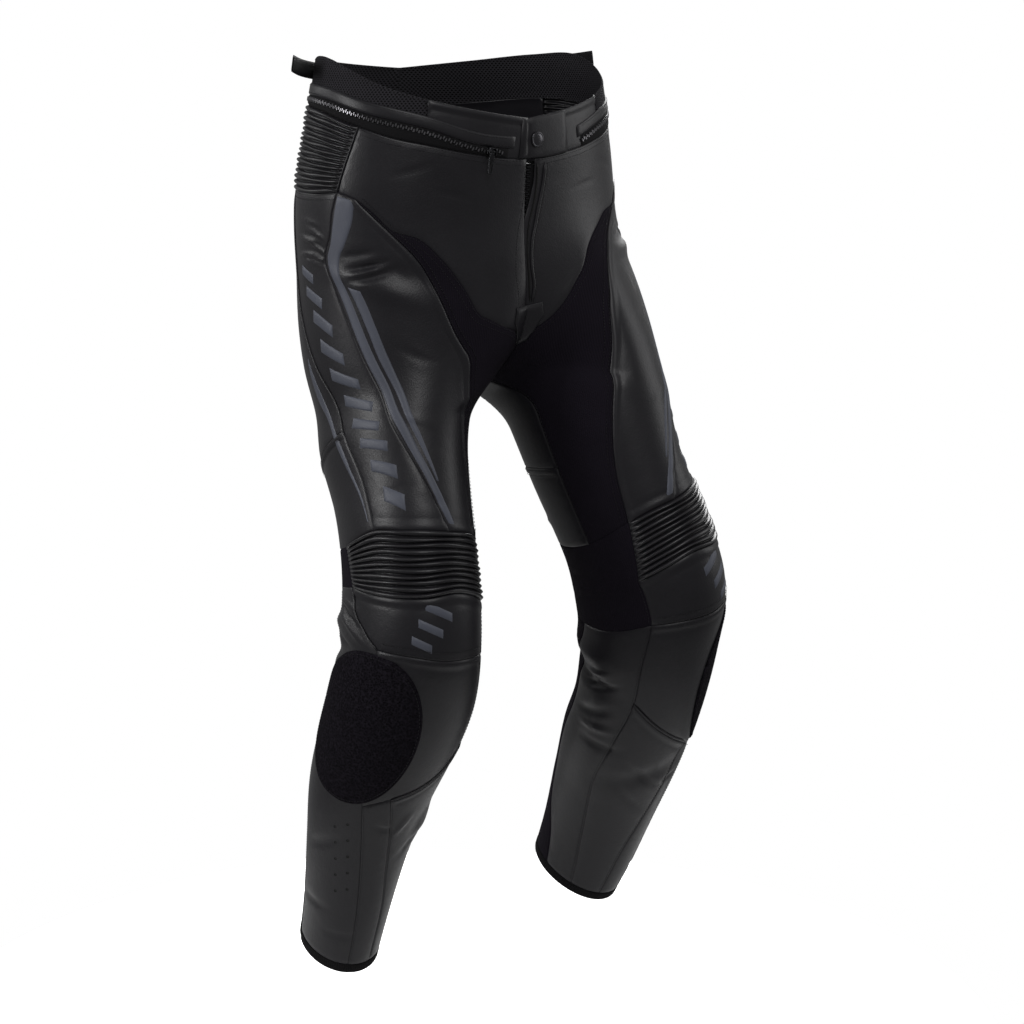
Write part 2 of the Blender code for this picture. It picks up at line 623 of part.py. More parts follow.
def waistband():
    front = outline(run("rim", 0, 2), run("binding"), run("waist", 3, 0), run("front_middle", 1, 0))
    back = outline(run("rim", 2, 8), run("back_middle", 0, 1), run("waist", 9, 3), run("binding", 1, 0))
    flap = band_mark(-86, 0.0, FLAP_WIDTH)
    tape = band_mark(-84, FLAP_WIDTH + 0.0006, FLAP_WIDTH + 0.0006 + TAPE_WIDTH)
    left_flap = band_mark(-68, 0.0, FLAP_WIDTH)
    left_tape = band_mark(-68, FLAP_WIDTH + 0.0006, FLAP_WIDTH + 0.0006 + TAPE_WIDTH)
    tab_right = tab_mark(-88.2)
    tab_left = tab_mark(-74.0)
    marks = {RIGHT: (flap, tape, tab_right), LEFT: (left_flap, left_tape, tab_left)}
    for side, word in SIDES:
        places, tris = facets(front, marks[side])
        FACETS["waistband", side] = (places, tris)
        add_wall(f"waistband_{word}", [(side, places, tris)], "leather_black")
        FACETS["waist_back", side] = facets(back, marks[side][:2])
    add_wall("waistband_back", [(side, *FACETS["waist_back", side]) for side in (RIGHT, LEFT)], "mesh_fabric")
    for side, word in SIDES:
        one, two = marks[side][:2]
        add_overlay(f"zip_flap_{word}", [("waistband", side, one), ("waist_back", side, one)],
                    "leather_black", 0.0012)
        add_overlay(f"zip_tape_{word}", [("waistband", side, two), ("waist_back", side, two)],
                    "zip_tape", 0.0010)
    add_overlay("waist_tab", [("waistband", RIGHT, tab_right), ("waistband", LEFT, tab_left)],
                "leather_black", WALL)


# angle, down: the top edge of the flap over the connection zip
FLAP_TOP = [(-90, 0.014), (-73, 0.008), (-52, -0.010), (-27, -0.024), (3, -0.040), (30, -0.0415),
            (60, -0.036), (95, -0.033)]


def band_mark(start, top, bottom):
    angle = np.concatenate([np.linspace(start, -52, 5), np.arange(-44, 88, 8.0), [98.0]])
    down = along(FLAP_TOP, 1, angle)
    upper = np.stack([angle, down + top], axis=1)
    lower = np.stack([angle, down + bottom], axis=1)
    return np.concatenate([upper, lower[::-1]])


def tab_mark(end):
    angle = (end, (end - 90) / 2, -90.0, -96.0)
    upper = np.array([(a, level("rim", max(a, -90)) + 0.0015) for a in angle])
    lower = np.array([(a, level("waist", max(a, -90)) - 0.0015) for a in angle])
    return np.concatenate([upper, lower[::-1]])


def hips():
    apron = outline(run("waist", 0, 5), run("hip_front"), run("apron"), run("front_middle", 7, 1))
    left_apron = outline(run("waist", 1, 5), run("hip_front"), run("apron"), run("front_middle", 7, 3),
                         run("fly", 3, 0))
    patch = crotch_mark()
    add_panel("apron", apron, "leather_black", [patch], SIDES[:1])
    add_panel("apron", left_apron, "leather_black", [patch], SIDES[1:])
    add_ribs("hip_ribs", run("waist", 5, 7), run("hip_bottom"), "leather_black", HIP_RIBS)
    seat = outline(run("waist", 7, 9), run("back_middle", 1, 10), run("inseam", 0, 3, 360),
                   run("cross", 0, 4, 360), run("side", 5, 0), run("hip_back", 1, 0))
    add_panel("seat", seat, "leather_black")
    stretch = outline(run("apron", 1, 9), run("front_middle", 7, 11), run("inseam"), run("back_top", 1, 0),
                      run("thigh", 10, 0))
    add_panel("stretch_front", stretch, "stretch_textile", [patch])
    add_overlay("crotch_patch", [(panel, side, patch) for panel in ("apron", "stretch_front")
                                 for side in (RIGHT, LEFT)], "leather_black", WALL)
    fly_tape()


def crotch_mark():
    return np.array([(-125, 0.211), (-109, 0.212), (-114, 0.229), (-124, 0.243), (-132, 0.2515), (-150, 0.2560)])


def fly_tape():
    """The zip's tape, behind the slit of the fly."""
    regions = []
    levels = np.linspace(0.040, 0.205, 9)
    for side in (RIGHT, LEFT):
        places = []
        for down in levels:
            most = float(limit(down))
            places += [(-most, down), (-most + 2.5, down), (-most + 5.0, down)]
        tris = []
        for row in range(len(levels) - 1):
            for column in range(2):
                k = row * 3 + column
                tris += [(k, k + 1, k + 4), (k, k + 4, k + 3)]
        regions.append((side, np.array(places), np.array(tris)))
    add_wall("fly_tape", regions, "zip_tape", base=-WALL - 0.0020, wall=0.0010)


# angle, down, angle, down: left and right edge of each stripe, from its top
STRIPE_ONE = [(-15.2, 0.0705, -24.5, 0.0745), (-13, 0.093, -23.5, 0.096), (-10.8, 0.1165, -19.5, 0.1175),
              (-8.3, 0.132, -16, 0.132), (-9.8, 0.149, -15.8, 0.150), (-14, 0.168, -19.5, 0.169),
              (-25.7, 0.2165, -30.7, 0.214), (-39.5, 0.275, -44.5, 0.271), (-49.7, 0.3095, -54.7, 0.306),
              (-65, 0.3485, -70.2, 0.344), (-77, 0.3785, -82, 0.375), (-88, 0.401, -94, 0.400),
              (-99, 0.422, -106, 0.422), (-105.6, 0.434, -112, 0.434)]
STRIPE_TWO = [(-20.5, 0.1655, -27.5, 0.169), (-33, 0.2125, -38.5, 0.2125), (-40.5, 0.2465, -46, 0.2455),
              (-49.5, 0.281, -54.5, 0.280), (-62, 0.317, -66.5, 0.3155), (-77.5, 0.356, -81.5, 0.3545),
              (-87, 0.380, -90, 0.379), (-95.5, 0.400, -97.5, 0.400)]


def stripe_mark(rows):
    rows = np.array(rows, float)
    steps = np.linspace(0, len(rows) - 1, 2 * (len(rows) - 1) + 1)
    table = [(k, *row) for k, row in enumerate(rows)]
    sides = [np.stack([along(table, k, steps), along(table, k + 1, steps)], axis=1) for k in (1, 3)]
    return np.concatenate([sides[0], sides[1][::-1]])


def thighs():
    one, two = stripe_mark(STRIPE_ONE), stripe_mark(STRIPE_TWO)
    front = outline(run("apron", 0, 1), run("thigh"), run("rib_top", 6, 4), run("stripe", 8, 0))
    add_panel("thigh_front", front, "leather_black", [one, two])
    for side, word in SIDES:
        add_overlay(f"stripe_one_{word}", [("thigh_front", side, one)], "leather_grey", STRIPE_WALL)
        add_overlay(f"stripe_two_{word}", [("thigh_front", side, two)], "leather_grey", STRIPE_WALL)
    panel = outline(run("hip_bottom"), run("side"), run("rib_top", 2, 4), run("stripe", 8, 0))
    add_panel("side_panel", panel, "leather_black")
    back = outline(run("inseam", 3, 4), run("back_top", 1, 5), run("rib_top", 0, 2, -360),
                   run("side", 7, 5, -360), run("cross", 4, 0))
    add_panel("thigh_back", back, "leather_black")


def knees():
    add_ribs("knee_ribs", run("rib_top"), run("rib_bottom"), "leather_black", KNEE_RIBS)
    top = outline(run("rib_bottom"), run("knee_in"), run("knee_bottom", 4, 0), run("knee_out", 3, 0))
    add_panel("knee_top", top, "leather_black")
    back = outline(run("back_top"), run("rib_out", 0, 1, -360), run("shin_top", 0, 1, -360), run("back_out"),
                   run("back_bottom", 4, 0), run("knee_in", 2, 0), run("rib_in", 1, 0))
    add_panel("knee_back", back, "stretch_textile", step=0.018)


def patch_mark():
    """The round loop patch that holds the knee slider: an even oval over the knee's outer side."""
    rows = []
    for k in range(20):
        turn = 2 * pi * k / 20
        span = 55 * abs(cos(turn)) ** 0.86 * (1 if cos(turn) > 0 else -1)
        rows.append((-38 + span, 0.6145 + 0.0775 * sin(turn)))
    return np.array(rows)


def shins():
    patch = patch_mark()
    armour = outline(run("knee_bottom"), run("shin_inner", 0, 2), run("armour"), run("under_patch", 2, 0))
    add_panel("knee_armour", armour, "leather_black", [patch])
    outer = outline(run("shin_top", 1, 0), run("knee_out"), run("under_patch"), run("shin_one"),
                    run("hem", 2, 0), run("gusset_out", 4, 0, 360), run("back_out", 1, 0, 360))
    add_panel("shin_outer", outer, "leather_black", [patch])
    for side, word in SIDES:
        add_overlay(f"slider_patch_{word}", [("knee_armour", side, patch), ("shin_outer", side, patch)],
                    "loop_patch", PATCH_WALL)
    front = outline(run("armour", 4, 3), run("shin_two"), run("hem", 3, 2), run("shin_one", 4, 0))
    add_panel("shin_front", front, "leather_black")
    inner = outline(run("armour", 3, 0), run("shin_inner", 2, 6), run("hem", 4, 3), run("shin_two", 5, 0))
    add_panel("shin_inner", inner, "leather_black")
    calf = outline(run("back_bottom", 0, 2), run("gusset_in"), run("hem", 5, 4), run("shin_inner", 6, 0))
    add_panel("calf_inner", calf, "leather_black")
    gusset = outline(run("back_bottom", 2, 4), run("gusset_out"), run("hem", 7, 5), run("gusset_in", 6, 0))
    add_panel("calf_gusset", gusset, "stretch_textile")
    for side, word in SIDES:
        regions = []
        for first, last in ((0, 4), (4, 7)):
            band = outline(run("hem", first, last), run("hem_end", last, first))
            regions.append((side, *facets(band)))
        add_wall(f"hem_band_{word}", regions, "knit_hem", base=0.0004, wall=0.0024)


def snap_button():
    """The cap of the press stud on the waistband's tab."""
    point, across, below, out = frame_at(LEFT, -87.6, 0.016, GAP + WALL + 0.0004)
    verts = [point, point + out * 0.0024]
    rings = ((0.0072, 0.0), (0.0078, 0.0010), (0.0068, 0.0020), (0.0030, 0.0024))
    count = 20
    for radius, rise in rings:
        for k in range(count):
            turn = 2 * pi * k / count
            verts.append(point + across * radius * cos(turn) + below * radius * sin(turn) + out * rise)
    faces = [(0, 2 + (k + 1) % count, 2 + k) for k in range(count)]
    last = 2 + (len(rings) - 1) * count
    faces += [(1, last + k, last + (k + 1) % count) for k in range(count)]
    for ring in range(len(rings) - 1):
        low, high = 2 + ring * count, 2 + (ring + 1) * count
        for k in range(count):
            faces.append((low + k, low + (k + 1) % count, high + (k + 1) % count, high + k))
    verts = np.array(verts)
    add_object("snap_button", verts, facing_out(verts, faces), "dark_metal")


SLIDER_ANGLE = -77.0
PIVOT_OUT = 0.0042  # the pull tab's axis above the slider's base
TAB_LENGTH = 0.023


def zip_slider():
    """The connection zip's slider, with two cheeks that hold the pull tab."""
    down = along(FLAP_TOP, 1, SLIDER_ANGLE) + FLAP_WIDTH + 0.0006 + TAPE_WIDTH / 2
    frame = frame_at(RIGHT, SLIDER_ANGLE, float(down), GAP + 0.0010 + 0.0006)
    profile = [(-0.0046, 0.0), (0.0046, 0.0), (0.0046, 0.0056), (0.0032, 0.0056), (0.0032, 0.0026),
               (-0.0032, 0.0026), (-0.0032, 0.0056), (-0.0046, 0.0056)]
    verts, faces = prism(frame, profile, -0.0040, 0.0040, 1)
    add_object("zip_slider", verts, facing_out(verts, faces), "dark_metal")
    point, across, below, out = frame
    pivot = point + out * PIVOT_OUT
    knuckle = 0.0012
    profile = [(-knuckle * cos(t), knuckle * sin(t)) for t in np.linspace(radians(-150), radians(150), 11)]
    profile += [(TAB_LENGTH - 0.001, 0.0006), (TAB_LENGTH, 0.0003), (TAB_LENGTH, -0.0003),
                (TAB_LENGTH - 0.001, -0.0006)]
    verts, faces = prism((pivot, across, below, out), profile, -0.0028, 0.0028, 0)
    add_object("zip_pull_tab", verts, facing_out(verts, faces), "dark_metal", tuple(pivot))


# angle, middle, lift: the adjuster strap, from its sewn end to its free one
STRAP = [(72, -0.0465, 0.0000), (60, -0.0485, 0.0000), (48, -0.0510, 0.0004), (36, -0.0535, 0.0020),
         (26, -0.0550, 0.0065), (18, -0.0560, 0.0135), (11, -0.0570, 0.0225), (6, -0.0580, 0.0320)]
STRAP_WIDTH = 0.018
STRAP_WALL = 0.0018


def straps():
    for side, word in SIDES:
        rows = []
        for angle, middle, lift in STRAP:
            down = np.array([middle - STRAP_WIDTH / 2, middle, middle + STRAP_WIDTH / 2])
            points, normals = skin(side, np.full(3, float(angle)), down)
            rows.append((points, normals, lift))
        outer = [p + n * (lift + 0.0008 + STRAP_WALL) for p, n, lift in rows]
        inner = [p + n * (lift + 0.0008) for p, n, lift in rows]
        add_object(f"adjuster_strap_{word}", *grid_shell(outer, inner, 1, side), "webbing")


def build():
    for old in list(bpy.data.objects):
        bpy.data.objects.remove(old, do_unlink=True)
    waistband()
    hips()
    thighs()
    knees()
    shins()
    snap_button()
    zip_slider()
    straps()


build()
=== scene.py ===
"""The looks of the leather motorcycle pants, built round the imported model.

Each piece is a thin shell on the same form as its solid: a table of sections, bent by a table of leg angles.
A place on the form is (angle, down). Angle goes round the leg: -90 at the front, 0 at the outer side, 90 at
the back and 180 at the inner side. Down is the length in metres below the hip line.
Metres, Z up, the wearer's front towards -Y and the wearer's left towards +X.
"""

from math import ceil, cos, pi, radians, sin

import bpy
import numpy as np
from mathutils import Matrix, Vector
from mathutils.geometry import delaunay_2d_cdt


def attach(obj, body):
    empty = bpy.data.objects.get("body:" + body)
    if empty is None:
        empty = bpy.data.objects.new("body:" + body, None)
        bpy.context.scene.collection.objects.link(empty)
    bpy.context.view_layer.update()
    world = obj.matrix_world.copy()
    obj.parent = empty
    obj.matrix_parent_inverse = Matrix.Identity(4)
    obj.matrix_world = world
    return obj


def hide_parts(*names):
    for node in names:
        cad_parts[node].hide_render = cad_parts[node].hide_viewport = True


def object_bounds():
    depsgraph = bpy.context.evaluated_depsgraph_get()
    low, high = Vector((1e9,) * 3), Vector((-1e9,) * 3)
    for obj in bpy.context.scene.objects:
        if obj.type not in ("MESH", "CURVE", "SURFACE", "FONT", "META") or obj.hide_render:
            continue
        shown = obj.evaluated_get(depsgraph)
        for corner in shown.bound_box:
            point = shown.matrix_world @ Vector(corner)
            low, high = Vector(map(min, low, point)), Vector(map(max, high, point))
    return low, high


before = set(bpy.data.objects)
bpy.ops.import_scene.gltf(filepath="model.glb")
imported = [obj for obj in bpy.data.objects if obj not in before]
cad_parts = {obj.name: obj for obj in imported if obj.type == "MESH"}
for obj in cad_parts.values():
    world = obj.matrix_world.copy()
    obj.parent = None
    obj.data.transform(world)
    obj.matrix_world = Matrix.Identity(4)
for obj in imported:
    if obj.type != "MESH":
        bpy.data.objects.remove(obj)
cad_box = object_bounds()

WALL = 0.0014  # the solids' wall
SHELL = 0.0011  # the visible cloth's thickness
GAP = 0.0003  # between a piece and the one it lies on
EDGE_STEP = 0.005  # longest side of a facet along a seam
GRID_STEP = 0.0058  # spacing of the points inside a piece
SEAM_GAP = 0.00003  # each piece keeps this far back from its seam
ALLOWANCE = 0.0004  # and its inner face goes this far past it, so that no light comes through
THIN_EDGE = 0.0004  # the shell's thickness at its turned edge
TURN = 0.0022  # how far in a turned edge begins to round down
TURN_DROP = 0.0010
WELT_WIDTH = 0.0072  # the lapped seams' raised band, which ends at its outer stitch line
WELT_RISE = 0.0010
WELT_SLOPE = 0.0025  # the band's side, and below it the panel's dip beside it
WELT_SKIRT = 0.0022
WELT_DIP = 0.0005
WELT_DIP_WIDTH = 0.0011
CREASE_STEP = 0.0016  # spacing of the points along a crease
AXIS_X = 0.10  # the leg's axis at the hip

RIB_RISE = 0.0034
HIP_RIBS = 16
KNEE_RIBS = 11
HEM_LINE = 0.878
HEM_END = 0.888
FLAP_WIDTH = 0.012
TAPE_TOP = FLAP_WIDTH + 0.0006
TAPE_WIDTH = 0.008
FLAP_LIFT = GAP + 0.0012
TAPE_LIFT = GAP + 0.0008
PATCH_LIFT = GAP + 0.0017
FILM = 0.0006  # the grey trim's thickness
FILM_LIFT = GAP + 0.0007
FILM_STEP = 0.005
FINE_STEP = 0.004  # spacing of the points inside a small piece

RIGHT, LEFT = -1, 1
SIDES = ((RIGHT, "right"), (LEFT, "left"))
FLAP_START = {RIGHT: -86, LEFT: -68}  # the angle of the connection zip's front end
TAB_END = {RIGHT: -88.2, LEFT: -74.0}  # the angles between which the front tab lies

# down, centre, half_width, middle, front, back, square
SECTIONS = [
    (-0.130, 0.000, 0.160, 0.000, 0.110, 0.104, 2.15),
    (-0.060, 0.000, 0.169, 0.000, 0.114, 0.110, 2.15),
    (0.000, 0.000, 0.178, 0.000, 0.117, 0.118, 2.15),
    (0.060, 0.008, 0.179, 0.000, 0.114, 0.127, 2.15),
    (0.130, 0.026, 0.161, 0.004, 0.113, 0.129, 2.15),
    (0.200, 0.054, 0.130, 0.004, 0.112, 0.117, 2.15),
    (0.250, 0.076, 0.104, 0.002, 0.107, 0.098, 2.10),
    (0.290, 0.094, 0.081, 0.000, 0.102, 0.085, 2.10),
    (0.330, 0.104, 0.075, 0.000, 0.099, 0.085, 2.05),
    (0.400, 0.106, 0.068, 0.000, 0.093, 0.079, 2.00),
    (0.460, 0.105, 0.068, -0.004, 0.091, 0.076, 2.00),
    (0.520, 0.104, 0.070, -0.008, 0.091, 0.078, 2.00),
    (0.580, 0.102, 0.074, -0.006, 0.077, 0.067, 2.00),
    (0.640, 0.102, 0.070, -0.002, 0.070, 0.064, 2.00),
    (0.700, 0.102, 0.063, 0.000, 0.064, 0.070, 2.00),
    (0.770, 0.102, 0.052, 0.000, 0.056, 0.067, 2.00),
    (0.850, 0.102, 0.043, 0.000, 0.053, 0.056, 2.00),
    (0.930, 0.102, 0.039, 0.000, 0.049, 0.046, 2.00),
]
# down, pitch, yaw, splay: degrees the leg swings forward, turns outward and spreads. 0 is the body's middle
BEND = {
    0: [(0.05, 0, 0, 0), (0.12, 7, 0, 0), (0.20, 12, 0, 0), (0.29, 21, 0, 0), (0.95, 21, 0, 0)],
    RIGHT: [(0.05, 0, 0, 0), (0.12, 2, 0, -3), (0.20, -1, 0, 4), (0.29, 16, 2, -1), (0.38, 26, 15, 1),
            (0.46, 11, 19, 1), (0.54, -3, 19, 6), (0.64, -25, 19, 14), (0.74, -19, 19, 7),
            (0.90, -21, 19, 5)],
    LEFT: [(0.05, 0, 0, 0), (0.12, 12, 0, 3), (0.20, 26, 1, 1), (0.29, 26, 4, -11), (0.38, 20, 12, 4),
           (0.46, 11, 16, 14), (0.54, -4, 16, 10), (0.64, -19, 16, 12), (0.74, -28, 16, 12),
           (0.90, -32, 16, 5)],
}
WIDTH = (0.9756, -0.0714)  # the whole garment's width at the hip line, and what it loses for each metre up
LENGTH = (-0.0023, -0.0362, -0.0788)  # what the height gains: a constant, and shares of height and its square
# side, angle, down, half_span (degrees), half_width, rise, lean (metres down per degree): soft folds
FOLDS = [
    (RIGHT, 20, 0.520, 30, 0.009, 0.0040, 0.0003),
    (RIGHT, 15, 0.550, 28, 0.009, -0.0035, 0.0003),
    (RIGHT, -35, 0.165, 22, 0.010, 0.0030, -0.0006),
    (RIGHT, -48, 0.150, 18, 0.010, -0.0030, -0.0006),
    (RIGHT, 150, 0.575, 30, 0.010, 0.0040, 0.0002),
    (LEFT, 150, 0.575, 30, 0.010, 0.0045, 0.0002),
    (LEFT, 158, 0.603, 30, 0.010, -0.0045, 0.0003),
    (LEFT, 20, 0.520, 30, 0.009, 0.0040, 0.0003),
    (LEFT, 15, 0.550, 28, 0.009, -0.0035, 0.0003),
    (LEFT, -35, 0.165, 22, 0.010, 0.0030, -0.0006),
    (LEFT, -130, 0.706, 34, 0.011, -0.0030, -0.0004),
]


def along(table, column, at):
    """The table's column at these values of its first one, on a smooth curve through the rows."""
    rows = np.array([row[0] for row in table], float)
    values = np.array([row[column] for row in table], float)
    at = np.clip(np.asarray(at, float), rows[0], rows[-1])
    steps = np.diff(rows)
    slopes = np.diff(values) / steps
    ends = np.empty_like(values)
    ends[0] = slopes[0]
    ends[-1] = slopes[-1]
    ends[1:-1] = (slopes[:-1] * steps[1:] + slopes[1:] * steps[:-1]) / (rows[2:] - rows[:-2])
    row = np.clip(np.searchsorted(rows, at, side="right") - 1, 0, len(rows) - 2)
    step = steps[row]
    t = (at - rows[row]) / step
    return (
        (2 * t**3 - 3 * t**2 + 1) * values[row]
        + (t**3 - 2 * t**2 + t) * step * ends[row]
        + (3 * t**2 - 2 * t**3) * values[row + 1]
        + (t**3 - t**2) * step * ends[row + 1]
    )


def ease(value, low, high):
    """0 below low, 1 above high, and a smooth rise between."""
    t = np.clip((np.asarray(value, float) - low) / (high - low), 0, 1)
    return t * t * (3 - 2 * t)


def turned(bend, down, local):
    """These local points turned by the leg's angles at this length."""
    mirror = bend or 1
    pitch = np.radians(along(BEND[bend], 1, down))
    yaw = np.radians(along(BEND[bend], 2, down)) * mirror
    splay = np.radians(along(BEND[bend], 3, down)) * mirror
    x, y, z = local
    y, z = y * np.cos(pitch) + z * np.sin(pitch), z * np.cos(pitch) - y * np.sin(pitch)
    x, y = x * np.cos(yaw) - y * np.sin(yaw), x * np.sin(yaw) + y * np.cos(yaw)
    x, z = x * np.cos(splay) - z * np.sin(splay), x * np.sin(splay) + z * np.cos(splay)
    return np.stack([x, y, z])


def axis_table(bend):
    """Points down the leg's axis, 1 mm apart."""
    down = np.arange(-0.150, 0.951, 0.001)
    zero = np.zeros_like(down)
    step = turned(bend, down, (zero, zero, zero - 0.001))
    path = np.concatenate([np.zeros((3, 1)), np.cumsum((step[:, 1:] + step[:, :-1]) / 2, axis=1)], axis=1)
    return down, path + np.array([[AXIS_X * bend], [0.0], [0.150]])


AXES = {bend: axis_table(bend) for bend in BEND}


def crotch_down():
    """The length down at which the two legs part."""
    down = np.arange(0.20, 0.33, 0.00005)
    return float(down[np.argmax(along(SECTIONS, 1, down) >= along(SECTIONS, 2, down))])


CROTCH = crotch_down()


def limit(down):
    """The angle at which the section meets the body's middle: 180 below the crotch."""
    down = np.asarray(down, float)
    share = np.clip(along(SECTIONS, 1, down) / along(SECTIONS, 2, down), 0, 1)
    angle = np.degrees(np.arccos(-(share ** (along(SECTIONS, 6, down) / 2))))
    return np.where(down >= CROTCH, 180.0, angle)


def form(side, angle, down):
    """Points of the plain form."""
    angle, down = np.broadcast_arrays(np.asarray(angle, float), np.asarray(down, float))
    centre, half, middle, front, back, square = (along(SECTIONS, k, down) for k in range(1, 7))
    centre = np.maximum(centre, 0.0)
    most = np.where(down < CROTCH, limit(down), 1e9)
    turn = np.radians(np.clip(angle, -most, most))
    c, s = np.cos(turn), np.sin(turn)
    x = centre + half * np.sign(c) * np.abs(c) ** (2 / square)
    y = middle + np.where(s < 0, front, back) * np.sign(s) * np.abs(s) ** (2 / square)
    zero = np.zeros_like(x)

    def placed(bend):
        table, path = AXES[bend]
        base = np.stack([np.interp(down, table, path[k]) for k in range(3)])
        if bend == 0:
            base[0] += AXIS_X * side
        return base + turned(bend, down, ((x - AXIS_X) * side, y, zero))

    share = np.maximum(ease(x, 0, 0.09), ease(down, 0.27, 0.33))
    x, y, z = placed(0) * (1 - share) + placed(side) * share
    width = WIDTH[0] + WIDTH[1] * z
    return np.stack([x * width, y * width, z + LENGTH[0] + LENGTH[1] * z + LENGTH[2] * z * z], axis=-1)


def form_normal(side, angle, down):
    """The plain form's outward direction."""
    across = form(side, angle + 0.5, down) - form(side, angle - 0.5, down)
    along_leg = form(side, angle, down + 0.002) - form(side, angle, down - 0.002)
    normal = np.cross(along_leg, across) * side
    return normal / np.maximum(np.linalg.norm(normal, axis=-1, keepdims=True), 1e-12)


def reach(down):
    """A mean radius, which turns degrees into metres round the leg."""
    return (along(SECTIONS, 2, down) + along(SECTIONS, 4, down)) / 2


def flat(points):
    """(angle, down) as metres on a plane, near enough to shape the facets."""
    points = np.asarray(points, float)
    return np.stack([np.radians(points[:, 0]) * reach(points[:, 1]), points[:, 1]], axis=1)


# Each seam is a curve through rows of (angle, down)
SEAMS = {
    "rim": [(-95, -0.006), (-72, -0.015), (-52, -0.027), (-31, -0.042), (-14, -0.057), (3, -0.069),
            (30, -0.068), (60, -0.061), (95, -0.054)],
    "waist": [(-95, 0.036), (-88, 0.036), (-74, 0.031), (-52, 0.019), (-40, 0.013), (-22, 0.001),
              (5, -0.015), (26, -0.019), (60, -0.014), (95, -0.010)],
    "binding": [(-52, -0.027), (-52, 0.019)],
    "hip_front": [(-22, 0.001), (-15, 0.067)],
    "hip_bottom": [(-15, 0.067), (5, 0.069), (26, 0.068)],
    "hip_back": [(26, -0.019), (26, 0.068)],
    "apron": [(-15, 0.067), (-25, 0.074), (-35, 0.090), (-42, 0.106), (-54, 0.117), (-64, 0.138),
              (-76, 0.166), (-89, 0.200), (-106, 0.228), (-145, 0.250)],
    "fly": [(-88, 0.036), (-90, 0.070), (-93, 0.095), (-99, 0.112)],
    "thigh": [(-25, 0.074), (-33, 0.090), (-43, 0.112), (-55, 0.142), (-64, 0.170), (-77, 0.209),
              (-94, 0.256), (-114, 0.304), (-132, 0.357), (-142, 0.405), (-146, 0.441)],
    "stripe": [(-15, 0.067), (-12, 0.088), (-10.5, 0.108), (-6.5, 0.132), (-12, 0.168), (-24, 0.2165),
               (-48, 0.3095), (-75, 0.3785), (-105, 0.437)],
    "side": [(26, 0.068), (24, 0.130), (18, 0.200), (9, 0.236), (-1.5, 0.269), (-15.5, 0.322),
             (-31, 0.380), (-40, 0.431)],
    "inseam": [(-180, CROTCH), (-180, 0.320), (-181, 0.350), (-181, 0.378), (-181, 0.451)],
    "cross": [(-181, 0.378), (-222, 0.368), (-270, 0.360), (-320, 0.345), (-375.5, 0.322)],
    "rib_top": [(-6, 0.441), (-17, 0.437), (-40, 0.431), (-63, 0.434), (-105, 0.437), (-128, 0.438),
                (-146, 0.441)],
    "rib_bottom": [(-13, 0.480), (-39, 0.485), (-79, 0.487), (-111, 0.484), (-137, 0.489), (-155, 0.495)],
    "rib_in": [(-146, 0.441), (-155, 0.495)],
    "rib_out": [(-6, 0.441), (-13, 0.480)],
    "knee_out": [(-13, 0.480), (-19, 0.506), (-32, 0.524), (-42, 0.533)],
    "knee_bottom": [(-42, 0.533), (-69, 0.534), (-97, 0.536), (-129, 0.536), (-149, 0.537)],
    "knee_in": [(-155, 0.495), (-152, 0.518), (-149, 0.537)],
    "back_top": [(-146, 0.441), (-181, 0.451), (-215, 0.452), (-270, 0.448), (-346, 0.441), (-366, 0.441)],
    "back_bottom": [(-149, 0.537), (-180, 0.546), (-212, 0.548), (-270, 0.546), (-340, 0.543)],
    "back_out": [(-342, 0.482), (-340, 0.543)],
    "shin_top": [(-13, 0.480), (18, 0.482)],
    "under_patch": [(-42, 0.533), (-54, 0.610), (-67, 0.688)],
    "armour": [(-154, 0.617), (-131, 0.641), (-115, 0.654), (-90, 0.671), (-67, 0.688)],
    "shin_inner": [(-149, 0.537), (-152, 0.577), (-154, 0.617), (-166, 0.671), (-177, 0.731),
                   (-174, 0.791), (-160, HEM_LINE)],
    "shin_one": [(-67, 0.688), (-74, 0.740), (-79, 0.782), (-82, 0.818), (-84, HEM_LINE)],
    "shin_two": [(-90, 0.671), (-98, 0.708), (-102, 0.732), (-109, 0.772), (-117, 0.812), (-119, HEM_LINE)],
    "gusset_in": [(-212, 0.548), (-220, 0.600), (-227, 0.659), (-235, 0.758), (-229, 0.806), (-212, 0.840),
                  (-200, HEM_LINE)],
    "gusset_out": [(-340, 0.543), (-338, 0.620), (-341, 0.700), (-346, 0.790), (-350, HEM_LINE)],
    "hem": [(10, HEM_LINE), (-36, HEM_LINE), (-84, HEM_LINE), (-119, HEM_LINE), (-160, HEM_LINE),
            (-200, HEM_LINE), (-275, HEM_LINE), (-350, HEM_LINE)],
    "hem_end": [(10, HEM_END), (-36, HEM_END), (-84, HEM_END), (-119, HEM_END), (-160, HEM_END),
                (-200, HEM_END), (-275, HEM_END), (-350, HEM_END)],
}
# The body's middle, front and back: lengths only, as the angle is the section's limit there
FRONT_MIDDLE = [-0.006, 0.036, 0.075, 0.112, 0.150, 0.190, 0.225, 0.250, 0.259, 0.266, 0.270, CROTCH]
BACK_MIDDLE = [-0.054, -0.010, 0.040, 0.100, 0.160, 0.210, 0.240, 0.256, 0.265, 0.270, CROTCH]


